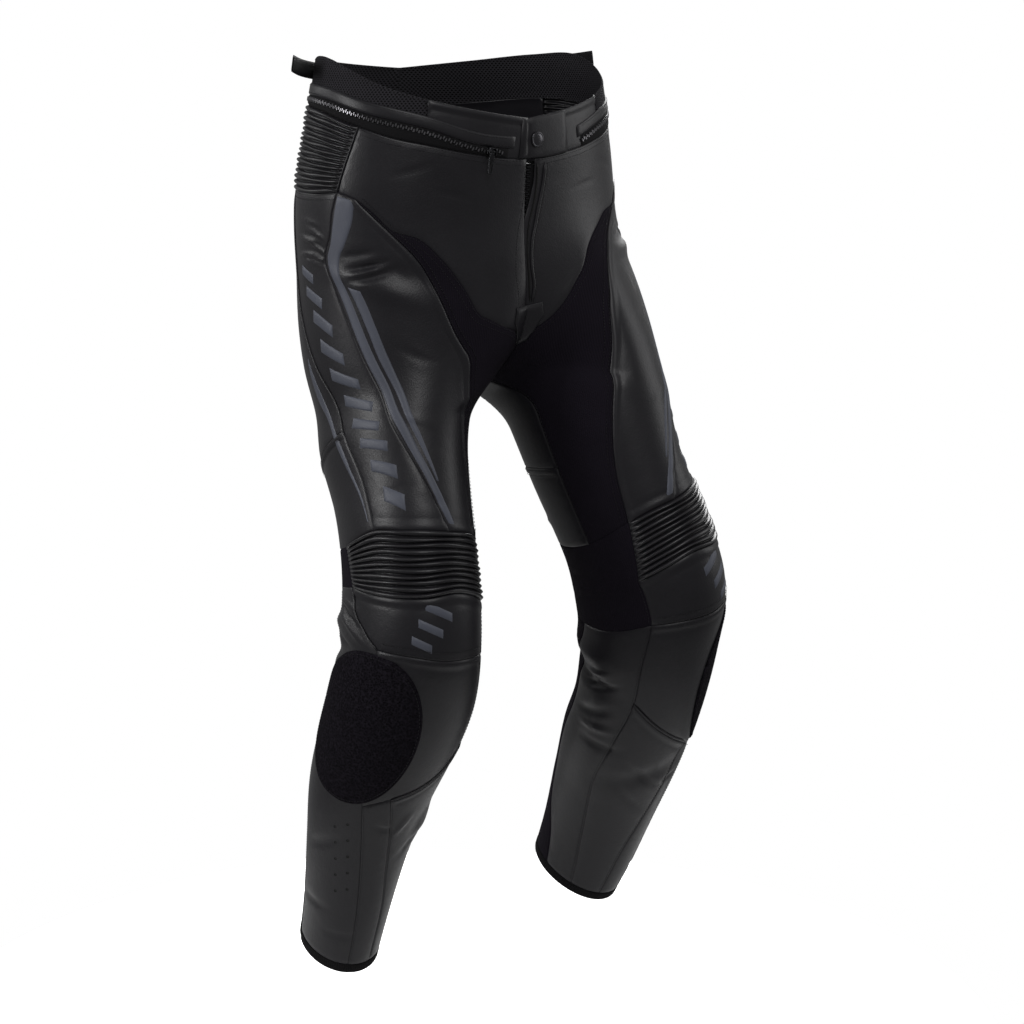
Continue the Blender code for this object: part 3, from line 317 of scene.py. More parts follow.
# side (0 both), angle, down, heading, half_length, half_width, rise, bow: creases, listed one by one. Heading
# is in degrees from straight round the leg, turning downward; lengths in metres; bow bends the line, per
# metre
CREASES = [
    # the right hip's pull lines, from the stripe to the thigh seam
    (RIGHT, -27, 0.1290, 4, 0.026, 0.0040, -0.0024, 2.0),
    (RIGHT, -31, 0.1420, 10, 0.034, 0.0042, -0.0022, 2.0),
    (RIGHT, -33, 0.1540, 14, 0.038, 0.0048, -0.0024, 3.0),
    (RIGHT, -30, 0.1480, 12, 0.030, 0.0040, 0.0016, 2.0),
    (LEFT, -31, 0.1400, 10, 0.030, 0.0044, -0.0020, 2.0),
    (LEFT, -33, 0.1530, 15, 0.034, 0.0048, -0.0018, 3.0),
    # the right side panel's crush under the hip ribs
    (RIGHT, 0, 0.1060, -22, 0.020, 0.0030, 0.0020, 0.0),
    (RIGHT, 5, 0.1140, -6, 0.026, 0.0030, 0.0022, 3.0),
    (RIGHT, -1, 0.1210, -26, 0.022, 0.0028, 0.0020, 0.0),
    (RIGHT, 7, 0.1300, 2, 0.024, 0.0034, 0.0018, -4.0),
    (RIGHT, -2, 0.1330, -18, 0.016, 0.0030, 0.0020, 0.0),
    (RIGHT, 3, 0.0960, -10, 0.020, 0.0028, 0.0011, 0.0),
    (RIGHT, 3, 0.1390, -10, 0.024, 0.0036, 0.0011, 0.0),
    (LEFT, 3, 0.1100, -10, 0.024, 0.0032, 0.0012, 0.0),
    (LEFT, 4, 0.1230, -6, 0.028, 0.0034, 0.0013, 0.0),
    # short pulls below the front waist seam, and across the lower thigh
    (0, -48, 0.0460, 14, 0.030, 0.0046, -0.0007, 3.0),
    (0, -66, 0.0720, -18, 0.026, 0.0046, -0.0006, -3.0),
    (0, -62, 0.2450, -32, 0.036, 0.0060, -0.0009, 2.0),
    (0, -78, 0.3350, -24, 0.032, 0.0056, 0.0009, -2.0),
    (0, -60, 0.4040, 6, 0.030, 0.0046, -0.0009, 2.0),
    (0, -92, 0.4150, -8, 0.028, 0.0046, -0.0009, -2.0),
    # behind: the seat's drag lines, and the crush over the knee's bend
    (0, 66, 0.2300, 24, 0.042, 0.0060, -0.0014, 2.0),
    (0, 84, 0.2520, 30, 0.040, 0.0060, -0.0016, 2.0),
    (0, 100, 0.2800, 36, 0.034, 0.0056, 0.0012, 2.0),
    (0, 60, 0.3300, -14, 0.032, 0.0056, -0.0010, 0.0),
    (0, 96, 0.4020, 10, 0.036, 0.0054, -0.0014, 2.0),
    (0, 118, 0.4240, 6, 0.034, 0.0050, 0.0013, 2.0),
    # the backs of the knees, folded one over the other
    (0, -6, 0.4970, -14, 0.030, 0.0044, 0.0028, 2.0),
    (0, -10, 0.5100, -22, 0.036, 0.0042, -0.0034, 2.0),
    (0, -14, 0.5220, -26, 0.034, 0.0044, 0.0026, 2.0),
    (0, -2, 0.5380, -12, 0.028, 0.0044, -0.0026, 2.0),
    (RIGHT, -146, 0.7200, 74, 0.034, 0.0110, 0.0040, 0.0),
    (0, 60, 0.4900, 6, 0.046, 0.0056, -0.0024, 1.0),
    (0, 80, 0.5080, 2, 0.052, 0.0060, 0.0022, 1.0),
    (0, 96, 0.5260, -4, 0.050, 0.0056, -0.0024, 1.0),
    (0, 150, 0.4860, -8, 0.030, 0.0050, -0.0016, 0.0),
    (0, 160, 0.5040, -12, 0.034, 0.0050, 0.0016, 0.0),
    # the calves' slack, under the knee
    (LEFT, 166, 0.5960, -8, 0.036, 0.0044, 0.0026, 2.0),
    (LEFT, 170, 0.6090, -10, 0.040, 0.0044, -0.0030, 2.0),
    (LEFT, 168, 0.6420, -20, 0.040, 0.0060, -0.0024, 2.0),
    (LEFT, 182, 0.6800, -4, 0.036, 0.0060, -0.0022, 2.0),
    (LEFT, 176, 0.6600, -10, 0.036, 0.0056, 0.0018, 2.0),
    (LEFT, 232, 0.7080, 36, 0.036, 0.0056, -0.0020, 2.0),
    (RIGHT, 168, 0.5980, -4, 0.038, 0.0050, 0.0022, 2.0),
    (RIGHT, 172, 0.6140, -6, 0.040, 0.0050, -0.0022, 2.0),
    (RIGHT, 170, 0.6560, -16, 0.040, 0.0060, -0.0018, 2.0),
    (0, 70, 0.6100, 20, 0.044, 0.0060, -0.0018, 2.0),
    (0, 60, 0.6480, 24, 0.040, 0.0060, 0.0014, 2.0),
    # the shins
    (0, -94, 0.7130, -12, 0.016, 0.0040, -0.0016, 0.0),
    (0, -112, 0.7060, 62, 0.024, 0.0050, 0.0018, 0.0),
    (0, -134, 0.7400, 44, 0.032, 0.0056, -0.0016, 2.0),
    (0, -30, 0.7500, 34, 0.040, 0.0056, -0.0010, 2.0),
    (0, -20, 0.8240, 12, 0.030, 0.0050, -0.0012, 0.0),
    (0, -66, 0.8460, 8, 0.026, 0.0046, -0.0012, 0.0),
    (0, 40, 0.8340, -8, 0.034, 0.0056, -0.0014, 0.0),
    (0, -40, 0.5600, 40, 0.018, 0.0044, -0.0008, 0.0),
]


def creased(side, angle, down):
    """How far the listed creases lift each place."""
    lift = np.zeros(angle.shape)
    for at_side, at, level_, heading, length, width, rise, bow in CREASES:
        if at_side not in (0, side):
            continue
        x = np.radians((angle - at + 180) % 360 - 180) * reach(level_)
        y = down - level_
        turn = radians(heading)
        u = x * cos(turn) + y * sin(turn)
        v = y * cos(turn) - x * sin(turn) + bow * u * u
        taper = np.clip(1 - (u / length) ** 2, 0, 1) ** 2
        q = (v / width) ** 2
        lift += rise * taper * (1 - 0.9 * q) * np.exp(-q)
    return lift


def skin(side, angle, down, lift=0.0):
    """Points and outward normals of the cloth's outer face, with its folds, raised by this lift."""
    angle, down = np.broadcast_arrays(np.asarray(angle, float), np.asarray(down, float))
    points = form(side, angle, down)
    normals = form_normal(side, angle, down)
    middle = (down < CROTCH) & (np.abs(points[..., 0]) < 2e-5)
    normals[..., 0] = np.where(middle, 0, normals[..., 0])
    normals /= np.linalg.norm(normals, axis=-1, keepdims=True)
    rise = creased(side, angle, down) + lift
    for fold_side, at, level_, span, width, height, lean in FOLDS:
        if fold_side == side:
            away = (angle - at + 180) % 360 - 180
            across = (down - level_ - lean * away) / width
            rise = rise + height * np.exp(-((away / span) ** 2) - across**2)
    return points + normals * rise[..., None], normals


def unflat(plane):
    """Back from metres on the plane to (angle, down)."""
    plane = np.asarray(plane, float)
    return np.stack([np.degrees(plane[:, 0] / reach(plane[:, 1])), plane[:, 1]], axis=1)


def seam_pieces(name):
    """The seam's points, one array for each stretch between two rows, ends included."""
    if name in ("front_middle", "back_middle"):
        levels = FRONT_MIDDLE if name == "front_middle" else BACK_MIDDLE
        sign = -1 if name == "front_middle" else 1
        pieces = []
        for low, high in zip(levels, levels[1:]):
            count = max(1, ceil((high - low) / EDGE_STEP))
            down = np.linspace(low, high, count + 1)
            pieces.append(np.stack([sign * limit(down), down], axis=1))
        return pieces
    rows = np.array(SEAMS[name], float)
    most = np.where(rows[:, 1] < CROTCH - 1e-9, limit(rows[:, 1]), 1e9)
    rows[:, 0] = np.clip(rows[:, 0], -most, most)
    travel = np.concatenate([[0], np.cumsum(np.hypot(*np.diff(flat(rows), axis=0).T))])
    table = [(t, *row) for t, row in zip(travel, rows)]
    pieces = []
    for low, high in zip(travel, travel[1:]):
        t = np.linspace(low, high, max(1, ceil((high - low) / EDGE_STEP)) + 1)
        piece = np.stack([along(table, 1, t), along(table, 2, t)], axis=1)
        most = np.where(piece[:, 1] < CROTCH - 1e-9, limit(piece[:, 1]), 1e9)
        piece[:, 0] = np.clip(piece[:, 0], -most, most)
        pieces.append(piece)
    return pieces


def run(name, first=0, last=None, turn=0):
    """The seam from one row to another, either way, with whole turns added to its angles."""
    pieces = seam_pieces(name)
    last = len(pieces) if last is None else last
    if last > first:
        points = np.concatenate([p[:-1] for p in pieces[first:last]] + [pieces[last - 1][-1:]])
    else:
        points = np.concatenate([p[:-1] for p in pieces[last:first]] + [pieces[first - 1][-1:]])[::-1]
    return points + np.array([turn, 0.0])


def outline(*runs):
    """The runs, end to end, as one closed outline."""
    points = np.concatenate(runs)
    keep = np.abs(points - np.roll(points, -1, axis=0)).max(axis=1) > 1e-7
    return points[keep]


def level(name, angle):
    """How far down the seam lies at this angle."""
    points = run(name)
    order = np.argsort(points[:, 0])
    return float(np.interp(angle, points[order, 0], points[order, 1]))


def inside(polygon, points):
    """Which of these points of the plane lie in the closed polygon."""
    found = np.zeros(len(points), bool)
    x, y = points[:, 0], points[:, 1]
    for (ax, ay), (bx, by) in zip(polygon, np.roll(polygon, -1, axis=0)):
        if ay != by:
            found ^= ((ay > y) != (by > y)) & (x < ax + (y - ay) * (bx - ax) / (by - ay))
    return found


def distance_to(path, points, closed=True):
    """Each point's distance to the path, on the plane."""
    best = np.full(len(points), 1e9)
    ends = np.roll(path, -1, axis=0) if closed else path[1:]
    for a, b in zip(path, ends):
        way = b - a
        t = np.clip(((points - a) @ way) / max(way @ way, 1e-18), 0, 1)
        best = np.minimum(best, np.linalg.norm(points - a - t[:, None] * way, axis=1))
    return best


def beside(path, distance, closed=False):
    """The path moved sideways on the plane, to its left where distance is above zero."""
    if closed:
        way = np.roll(path, -1, axis=0) - np.roll(path, 1, axis=0)
    else:
        way = np.gradient(path, axis=0)
    way /= np.maximum(np.linalg.norm(way, axis=1, keepdims=True), 1e-12)
    return path + distance * np.stack([-way[:, 1], way[:, 0]], axis=1)


def crease_rows(plane):
    """Points along each crease that crosses this outline, so that its mesh can bend there."""
    rows = []
    for _, at, level_, heading, length, width, _, bow in CREASES:
        turn = radians(heading)
        for offset in (-1.6, -0.8, 0.0, 0.8, 1.6):
            u = np.linspace(-0.95, 0.95, ceil(length / CREASE_STEP)) * length
            v = offset * width - bow * u * u
            down = level_ + u * sin(turn) + v * cos(turn)
            angle = at + np.degrees((u * cos(turn) - v * sin(turn)) / reach(level_))
            rows += [flat(np.stack([angle + whole, down], axis=1)) for whole in (-360, 0, 360)]
    rows = np.concatenate(rows)
    rows = rows[((rows > plane.min(axis=0)) & (rows < plane.max(axis=0))).all(axis=1)]
    kept = {}
    for spot in rows:
        kept.setdefault(tuple(np.round(spot / CREASE_STEP).astype(int)), spot)
    rows = np.array(list(kept.values())).reshape(-1, 2)
    rows = rows[inside(plane, rows)]
    return rows[distance_to(plane, rows) > TURN * 1.5]


def facets(polygon, welts=(), step=GRID_STEP):
    """(places, triangles, lift) of the outline's inside, with turned edges and raised welts."""
    plane = flat(polygon)
    inward = 1 if double_area(plane) > 0 else -1
    rows = []
    for distance in (TURN * 0.4, TURN):
        loop = beside(plane, distance * inward, True)
        rows.append(loop[inside(plane, loop)])
        rows[-1] = rows[-1][distance_to(plane, rows[-1]) > distance * 0.9]
    seams = [flat(welt) for welt in welts]
    for seam in seams:
        for distance in (WELT_WIDTH - WELT_SLOPE, WELT_WIDTH, WELT_WIDTH + WELT_SKIRT):
            for sign in (1, -1):
                row = beside(seam, distance * sign)
                row = row[inside(plane, row)]
                if len(row):
                    rows.append(row[distance_to(plane, row) > TURN * 1.6])
    marked = crease_rows(plane) if step == GRID_STEP else np.zeros((0, 2))
    rows.append(marked)
    low, high = plane.min(axis=0), plane.max(axis=0)
    xs = np.arange(low[0] - step, high[0] + step, step)
    ys = np.arange(low[1] + step / 2, high[1], step * 0.87)
    spots = [(x + (step / 2 if k % 2 else 0), y) for k, y in enumerate(ys) for x in xs]
    grid = np.array(spots).reshape(-1, 2)
    grid = grid[inside(plane, grid)]
    grid = grid[distance_to(plane, grid) > TURN + step * 0.45]
    for seam in seams:
        near = distance_to(seam, grid, False)
        beyond = near > WELT_WIDTH + WELT_SKIRT + step * 0.4
        grid = grid[beyond | (near < WELT_WIDTH - WELT_SLOPE - step * 0.3)]
    if len(marked):
        apart = np.linalg.norm(grid[:, None] - marked[None], axis=2)
        grid = grid[apart.min(axis=1) > step * 0.5]
    rows.append(grid)
    extra = np.concatenate(rows)
    coords = [tuple(p) for p in plane] + [tuple(p) for p in extra]
    edges = [(k, (k + 1) % len(plane)) for k in range(len(plane))]
    verts, _, tris, origins, _, _ = delaunay_2d_cdt([Vector(c) for c in coords], edges, [], 0, 1e-7)
    found = np.array([tuple(v) for v in verts])
    places = unflat(found)
    for k, origin in enumerate(origins):
        named = [i for i in origin if i < len(polygon)]
        if named:
            places[k] = polygon[named[0]]
    tris = np.array([tuple(t) for t in tris])
    tris = tris[inside(plane, found[tris].mean(axis=1))]
    depth = distance_to(plane, found)
    lift = -TURN_DROP * np.clip(1 - depth / TURN, 0, 1) ** 2
    for seam in seams:
        away = distance_to(seam, found, False)
        lift += WELT_RISE * ease(-away, -WELT_WIDTH, -WELT_WIDTH + WELT_SLOPE)
        lift -= WELT_DIP * np.exp(-(((away - WELT_WIDTH) / WELT_DIP_WIDTH) ** 2))
    return places, tris, lift


def cut_of(polygons):
    """(width, length, area) of the flat cloth under these outlines. A narrow slanted cut is laid straight."""
    planes = [flat(p) for p in polygons]
    width, length = np.ptp(np.concatenate(planes), axis=0)
    if len(planes) > 1:
        width *= len(planes)
    area = sum(abs(double_area(plane)) / 2 for plane in planes)
    if area < 0.34 * width * length:
        ways = [np.roll(plane, -1, axis=0) - plane for plane in planes]
        length = max(float(np.hypot(*way.T).sum()) / 2 for way in ways)
        width = max(area / length, 0.0101)
    width, length = round(float(width), 4), round(float(length), 3)
    return width, length, round(min(float(area), width * length), 6)


def double_area(plane):
    """Twice the outline's area, above zero where it runs one way round."""
    return float((plane[:, 0] * np.roll(plane[:, 1], -1) - np.roll(plane[:, 0], -1) * plane[:, 1]).sum())


def open_edges(tris):
    """The sides that only one triangle has."""
    ends = np.concatenate([tris[:, [0, 1]], tris[:, [1, 2]], tris[:, [2, 0]]])
    there = {tuple(e) for e in ends.tolist()}
    return np.array([(a, b) for a, b in there if (b, a) not in there])


def add_mesh(name, verts, faces, look, uv=None, smooth=True):
    mesh = bpy.data.meshes.new(name)
    mesh.from_pydata([tuple(v) for v in verts], [], [tuple(map(int, f)) for f in faces])
    mesh.update()
    made = bpy.data.objects.new(name, mesh)
    bpy.context.scene.collection.objects.link(made)
    mesh.materials.append(look)
    if smooth:
        mesh.polygons.foreach_set("use_smooth", [True] * len(mesh.polygons))
    if uv is not None:
        layer = mesh.uv_layers.new(name="Cut")
        corners = np.empty(len(mesh.loops), np.int32)
        mesh.loops.foreach_get("vertex_index", corners)
        layer.data.foreach_set("uv", np.asarray(uv, float)[corners].ravel())
    return made


def declare(piece, nodes=(), body="pants"):
    """The piece's body and the nodes that it stands for."""
    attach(piece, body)
    if nodes:
        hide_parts(*nodes)
    return piece


def shell(regions, base=0.0, wall=SHELL, keep_back=SEAM_GAP):
    """(verts, faces, uv) of a thin shell over (side, places, triangles, lift) regions."""
    points, normals, uvs, tris, where = [], [], [], [], {}
    count = 0
    for side, places, faces, lift in regions:
        p, n = skin(side, places[:, 0], places[:, 1], lift + base)
        number = np.arange(len(p)) + count
        if len(regions) > 1:
            for k in range(len(p)):
                key = tuple(np.round(p[k] / 3e-5).astype(int))
                same = [where[q] for q in neighbours(key) if q in where]
                if same:
                    number[k] = same[0]
                else:
                    where[key] = count + k
        points.append(p)
        normals.append(n)
        uvs.append(flat(places) * np.array([side, 1]))
        tris.append(number[faces])
        count += len(p)
    points, normals, uvs = np.concatenate(points), np.concatenate(normals), np.concatenate(uvs)
    tris = np.concatenate(tris)
    whole = (tris[:, 0] != tris[:, 1]) & (tris[:, 1] != tris[:, 2]) & (tris[:, 0] != tris[:, 2])
    tris = tris[whole]
    a, b, c = (points[tris[:, k]] for k in range(3))
    wrong = (np.cross(b - a, c - a) * normals[tris].sum(axis=1)).sum(axis=1) < 0
    tris[wrong] = tris[wrong][:, ::-1]
    used, tris = np.unique(tris, return_inverse=True)
    tris = tris.reshape(-1, 3)
    points, normals, uvs = points[used], normals[used], uvs[used]
    edges = open_edges(tris)
    moves = np.zeros_like(points)
    way = points[edges[:, 1]] - points[edges[:, 0]]
    inward = np.cross(normals[edges[:, 0]] + normals[edges[:, 1]], way)
    inward /= np.maximum(np.linalg.norm(inward, axis=1, keepdims=True), 1e-12)
    np.add.at(moves, edges[:, 0], inward)
    np.add.at(moves, edges[:, 1], inward)
    moves /= np.maximum(np.linalg.norm(moves, axis=1, keepdims=True), 1e-9)
    moves *= keep_back
    border = np.zeros(len(points))
    border[edges.ravel()] = 1
    outer = points + moves
    deep = wall - border * min(TURN_DROP, wall - THIN_EDGE)
    under = points - moves * (ALLOWANCE / keep_back) - normals * deep[:, None]
    size = len(points)
    walls = [(b, a, a + size, b + size) for a, b in edges.tolist()]
    faces = tris.tolist() + (tris[:, ::-1] + size).tolist() + walls
    return np.vstack([outer, under]), faces, np.vstack([uvs, uvs])


def neighbours(key):
    """This cell of the grid and the 26 round it."""
    x, y, z = key
    return [(x + i, y + j, z + k) for i in (0, -1, 1) for j in (0, -1, 1) for k in (0, -1, 1)]


def cloth(name, polygons, look, nodes, base=0.0, wall=SHELL, welts=(), step=GRID_STEP):
    """One sheet piece from [(side, outline), ...], declared for the nodes that it stands for."""
    made = {}
    regions = []
    for side, polygon in polygons:
        key = id(polygon)
        if key not in made:
            made[key] = facets(polygon, welts, step)
        regions.append((side, *made[key]))
    verts, faces, uv = shell(regions, base, wall)
    piece = declare(add_mesh(name, verts, faces, look, uv), nodes)
    width, length, area = cut_of([polygon for _, polygon in polygons])
    return piece


def panel(name, polygon, look, sides=SIDES, welts=(), base=0.0, wall=SHELL, step=GRID_STEP):
    """The same cut on both legs: one piece a side, which stands for the solid of the same name."""
    ready = facets(polygon, welts, step)
    width, length, area = cut_of([polygon])
    for side, word in sides:
        verts, faces, uv = shell([(side, *ready)], base, wall)
        piece = add_mesh(f"{name}_{word}_cloth", verts, faces, look, uv)
        declare(piece, [f"{name}_{word}"])


class Field:
    """A number that varies over a surface: a shader socket that Python's operators work on."""

    def __init__(self, tree, socket):
        self.tree = tree
        self.socket = socket

    def math(self, operation, *others, before=False):
        node = self.tree.nodes.new("ShaderNodeMath")
        node.operation = operation
        values = [*others, self] if before else [self, *others]
        for place, value in zip(node.inputs, values):
            join(self.tree, value, place)
        return Field(self.tree, node.outputs[0])

    def __add__(self, other):
        return self.math("ADD", other)

    def __sub__(self, other):
        return self.math("SUBTRACT", other)

    def __rsub__(self, other):
        return self.math("SUBTRACT", other, before=True)

    def __mul__(self, other):
        return self.math("MULTIPLY", other)

    def __truediv__(self, other):
        return self.math("DIVIDE", other)

    def wave(self):
        """Sine, brought to between 0 and 1."""
        return self.math("SINE") * 0.5 + 0.5

    def clipped(self):
        return self.math("MAXIMUM", 0.0).math("MINIMUM", 1.0)


def join(tree, value, place):
    """The value on this socket: a link for a Field, else its number."""
    if isinstance(value, Field):
        tree.links.new(value.socket, place)
    elif value is not None:
        place.default_value = value


class Finish:
    """One material being made."""

    def __init__(self, name, colour, roughness, metallic=0.0):
        self.material = bpy.data.materials.new(name)
        self.material.use_nodes = True
        self.tree = self.material.node_tree
        self.shader = self.tree.nodes["Principled BSDF"]
        self.shader.inputs["Base Color"].default_value = (*colour, 1)
        self.shader.inputs["Roughness"].default_value = roughness
        self.shader.inputs["Metallic"].default_value = metallic
        self.material.diffuse_color = (*colour, 1)

    def node(self, kind, settings=None, inputs=None, output=0):
        """A node of this type, with its settings made first and then its sockets, as a Field."""
        made = self.tree.nodes.new(f"ShaderNode{kind}")
        for key, value in (settings or {}).items():
            setattr(made, key, value)
        for key, value in (inputs or {}).items():
            join(self.tree, value, made.inputs[key])
        return Field(self.tree, made.outputs[output])

    def place(self):
        """Metres in the garment's own frame."""
        return self.node("TexCoord", output=3)

    def cut(self):
        """(round, down): metres on the flat cut, as two fields."""
        spot = self.node("UVMap", {"uv_map": "Cut"})
        return (self.node("SeparateXYZ", None, {0: spot}), self.node("SeparateXYZ", None, {0: spot}, 1))

    def noise(self, scale, detail=3.0, rough=0.5):
        inputs = {"Vector": self.place(), "Scale": scale, "Detail": detail, "Roughness": rough}
        return self.node("TexNoise", None, inputs)

    def cells(self, scale):
        return self.node("TexVoronoi", None, {"Vector": self.place(), "Scale": scale})

    def mixed(self, share, dark, light):
        """The colour between these two."""
        ends = [colour if isinstance(colour, Field) else (*colour, 1) for colour in (dark, light)]
        return self.node("Mix", {"data_type": "RGBA"}, {0: share, 6: ends[0], 7: ends[1]}, 2)

    def feed(self, socket, value):
        join(self.tree, value, self.shader.inputs[socket])

    def bump(self, height, distance, strength=1.0):
        relief = {"Height": height, "Distance": distance, "Strength": strength}
        self.feed("Normal", self.node("Bump", None, relief))


def shade(colour, factor):
    """The colour made darker or lighter."""
    return tuple(min(c * factor, 1.0) for c in colour)


def leather(name, colour, roughness=0.40, gloss=0.2, grain=0.00022):
    """Smooth cowhide: a fine pebbled grain, soft uneven wrinkling and a sheen that comes and goes."""
    made = Finish(name, colour, roughness)
    pebbles = made.cells(620.0)
    wrinkle = made.noise(95.0, 4.0, 0.55)
    patch = made.noise(16.0, 3.0, 0.5)
    made.feed("Base Color", made.mixed(patch.clipped(), shade(colour, 0.75), shade(colour, 1.3)))
    made.feed("Roughness", patch * 0.14 + pebbles * 0.10 + (roughness - 0.11))
    made.shader.inputs["Specular IOR Level"].default_value = gloss
    made.bump(pebbles * -0.6 + wrinkle * 1.5, grain, 0.6)
    return made.material


def stretch_textile(name, colour):
    """A stretch weave: fine ribs down the cut, crossed by finer rows."""
    made = Finish(name, colour, 0.92)
    across, down = made.cut()
    ribs = (across * (2 * pi / 0.0021)).wave()
    rows = (down * (2 * pi / 0.0013)).wave()
    cloud = made.noise(30.0, 3.0, 0.6)
    weave = ribs * 0.65 + rows * 0.35
    share = (weave * 0.6 + cloud * 0.5).clipped()
    # Painted shade: the colour is darker where the bump is low, in the weave's hollows, and lighter on its
    # ribs; the cloud also varies the tone at random.
    made.feed("Base Color", made.mixed(share, shade(colour, 0.6), shade(colour, 1.5)))
    made.shader.inputs["Specular IOR Level"].default_value = 0.06
    made.bump(weave + cloud * 0.4, 0.00025, 0.8)
    return made.material


def woven(name, colour, pitch, roughness=0.85, relief=0.0002):
    """Narrow ware, such as webbing and zip tape: a plain herring-like twill."""
    made = Finish(name, colour, roughness)
    across, down = made.cut()
    one = ((across + down) * (2 * pi / pitch)).wave()
    two = ((across - down) * (2 * pi / pitch)).wave()
    weave = one * two
    # Painted shade: the colour is darker in the twill's hollows and lighter on its raised floats, following
    # the bump.
    made.feed("Base Color", made.mixed(weave.clipped(), shade(colour, 0.55), shade(colour, 1.6)))
    made.shader.inputs["Specular IOR Level"].default_value = 0.1
    made.bump(weave, relief, 0.8)
    return made.material


def knit(name, colour):
    """The hem's ribbed knit."""
    made = Finish(name, colour, 0.95)
    across, down = made.cut()
    ribs = (across * (2 * pi / 0.0026)).wave()
    loops = (down * (2 * pi / 0.0014)).wave()
    weave = ribs * 0.7 + loops * 0.3
    # Painted shade: the colour is darker in the knit's hollows and lighter on its ribs, following the bump.
    made.feed("Base Color", made.mixed(weave.clipped(), shade(colour, 0.5), shade(colour, 1.5)))
    made.shader.inputs["Specular IOR Level"].default_value = 0.08
    made.bump(weave, 0.0005, 0.9)
    return made.material


def loops(name, colour):
    """The slider patch's pile of tiny loops."""
    made = Finish(name, colour, 0.97)
    fuzz = made.noise(420.0, 5.0, 0.75)
    curls = made.cells(430.0)
    pile = fuzz * 0.6 + curls * 0.6
    # Painted shade and highlight: the colour is darker down in the pile and lighter on its tips, following
    # the bump.
    made.feed("Base Color", made.mixed((pile * 2.0 - 0.7).clipped(), shade(colour, 0.3), shade(colour, 2.4)))
    made.shader.inputs["Specular IOR Level"].default_value = 0.03
    made.bump(pile, 0.0009, 0.9)
    return made.material


def metal(name, colour, roughness):
    """Plated metal, a little worn."""
    made = Finish(name, colour, roughness, 1.0)
    wear = made.noise(300.0, 3.0, 0.6)
    made.feed("Base Color", made.mixed(wear.clipped(), shade(colour, 0.7), shade(colour, 1.4)))
    made.feed("Roughness", wear * 0.2 + (roughness - 0.1))
    made.bump(made.noise(1400.0, 2.0), 0.00005, 0.4)
    return made.material


def thread(name, colour):
    """Twisted sewing thread."""
    made = Finish(name, colour, 0.6)
    made.shader.inputs["Specular IOR Level"].default_value = 0.15
    twist = made.noise(1800.0, 2.0)
    # Painted shade: the colour is darker where the twist's bump is low and lighter where it is high.
    made.feed("Base Color", made.mixed(twist.clipped(), shade(colour, 0.7), shade(colour, 1.4)))
    made.bump(twist, 0.00008, 0.6)
    return made.material


MESH_PITCH = 0.0042  # the spacer mesh's openings


def spacer_mesh(name, colour):
    """An open mesh: rows of small eyes in a knit ground, set half a step over in every other row."""
    made = Finish(name, colour, 0.9)
    across, down = made.cut()
    level = down / (MESH_PITCH * 0.55)
    row = level.math("ROUND")
    odd = (row * 0.5).math("FRACT").math("GREATER_THAN", 0.25)
    along_it = across / MESH_PITCH + odd * 0.5
    x = along_it - along_it.math("ROUND")
    y = level - row
    eye = (1.0 - ((x * x * 9.0) + (y * y * 4.5))).clipped()
    # Painted shade: each eye is painted near black, standing in for the shade inside the opening, and is sunk
    # by the bump.
    made.feed("Base Color", made.mixed((eye * 1.6).clipped(), shade(colour, 1.9), shade(colour, 0.12)))
    made.shader.inputs["Specular IOR Level"].default_value = 0.1
    made.bump(eye * -1.0, 0.0009, 0.9)
    return made.material


BLACK = (0.0062, 0.0058, 0.0072)
GREY = (0.040, 0.043, 0.055)
LOOK = {
    "leather": leather("cowhide_black", BLACK),
    "ribbed": leather("cowhide_ribbed", shade(BLACK, 0.8), 0.36, 0.26),
    "grey": leather("cowhide_grey", GREY, 0.5, 0.2, 0.00012),
    "stretch": stretch_textile("stretch_weave", (0.0046, 0.0036, 0.0058)),
    "mesh": spacer_mesh("spacer_mesh", (0.0070, 0.0066, 0.0078)),
    "patch": loops("loop_pile", (0.0034, 0.0029, 0.0040)),
    "knit": knit("hem_knit", (0.0036, 0.0034, 0.0038)),
    "tape": woven("zip_tape_twill", (0.0038, 0.0036, 0.0042), 0.0016),
    "webbing": woven("strap_webbing", (0.0060, 0.0058, 0.0066), 0.0024, 0.7, 0.0004),
    "metal": metal("black_plated_metal", (0.022, 0.022, 0.024), 0.30),
    "teeth": metal("zip_teeth_metal", (0.090, 0.088, 0.094), 0.34),
    "bright": metal("worn_snap_metal", (0.045, 0.044, 0.048), 0.30),
    "thread": thread("black_thread", (0.0050, 0.0048, 0.0056)),
    "hole": thread("hole_shadow", (0.0012, 0.0012, 0.0012)),
}


def waistband():
    """The waistband's fronts, its mesh, the connection zip and the front tab."""
    front = outline(run("rim", 0, 2), run("binding"), run("waist", 3, 0), run("front_middle", 1, 0))
    panel("waistband", front, LOOK["leather"], welts=[run("rim", 0, 2)])
    back = outline(run("rim", 2, 8), run("back_middle", 0, 1), run("waist", 9, 3), run("binding", 1, 0))
    mesh_band(back)
    for side, word in SIDES:
        start = FLAP_START[side]
        flap = band_mark(start, 0.0, FLAP_WIDTH)
        cloth(f"zip_flap_{word}_cloth", [(side, flap)], LOOK["leather"],
              [f"zip_flap_{word}"], FLAP_LIFT)
        tape = tape_mark(start + 2)
        cloth(f"zip_tape_{word}_cloth", [(side, tape)], LOOK["tape"], [f"zip_tape_{word}"],
              TAPE_LIFT, 0.0007)
    tab = [(side, tab_mark(end)) for side, end in TAB_END.items()]
    cloth("waist_tab_cloth", tab, LOOK["leather"], ["waist_tab"],
          GAP + WALL + 0.0003, 0.0014, step=FINE_STEP)


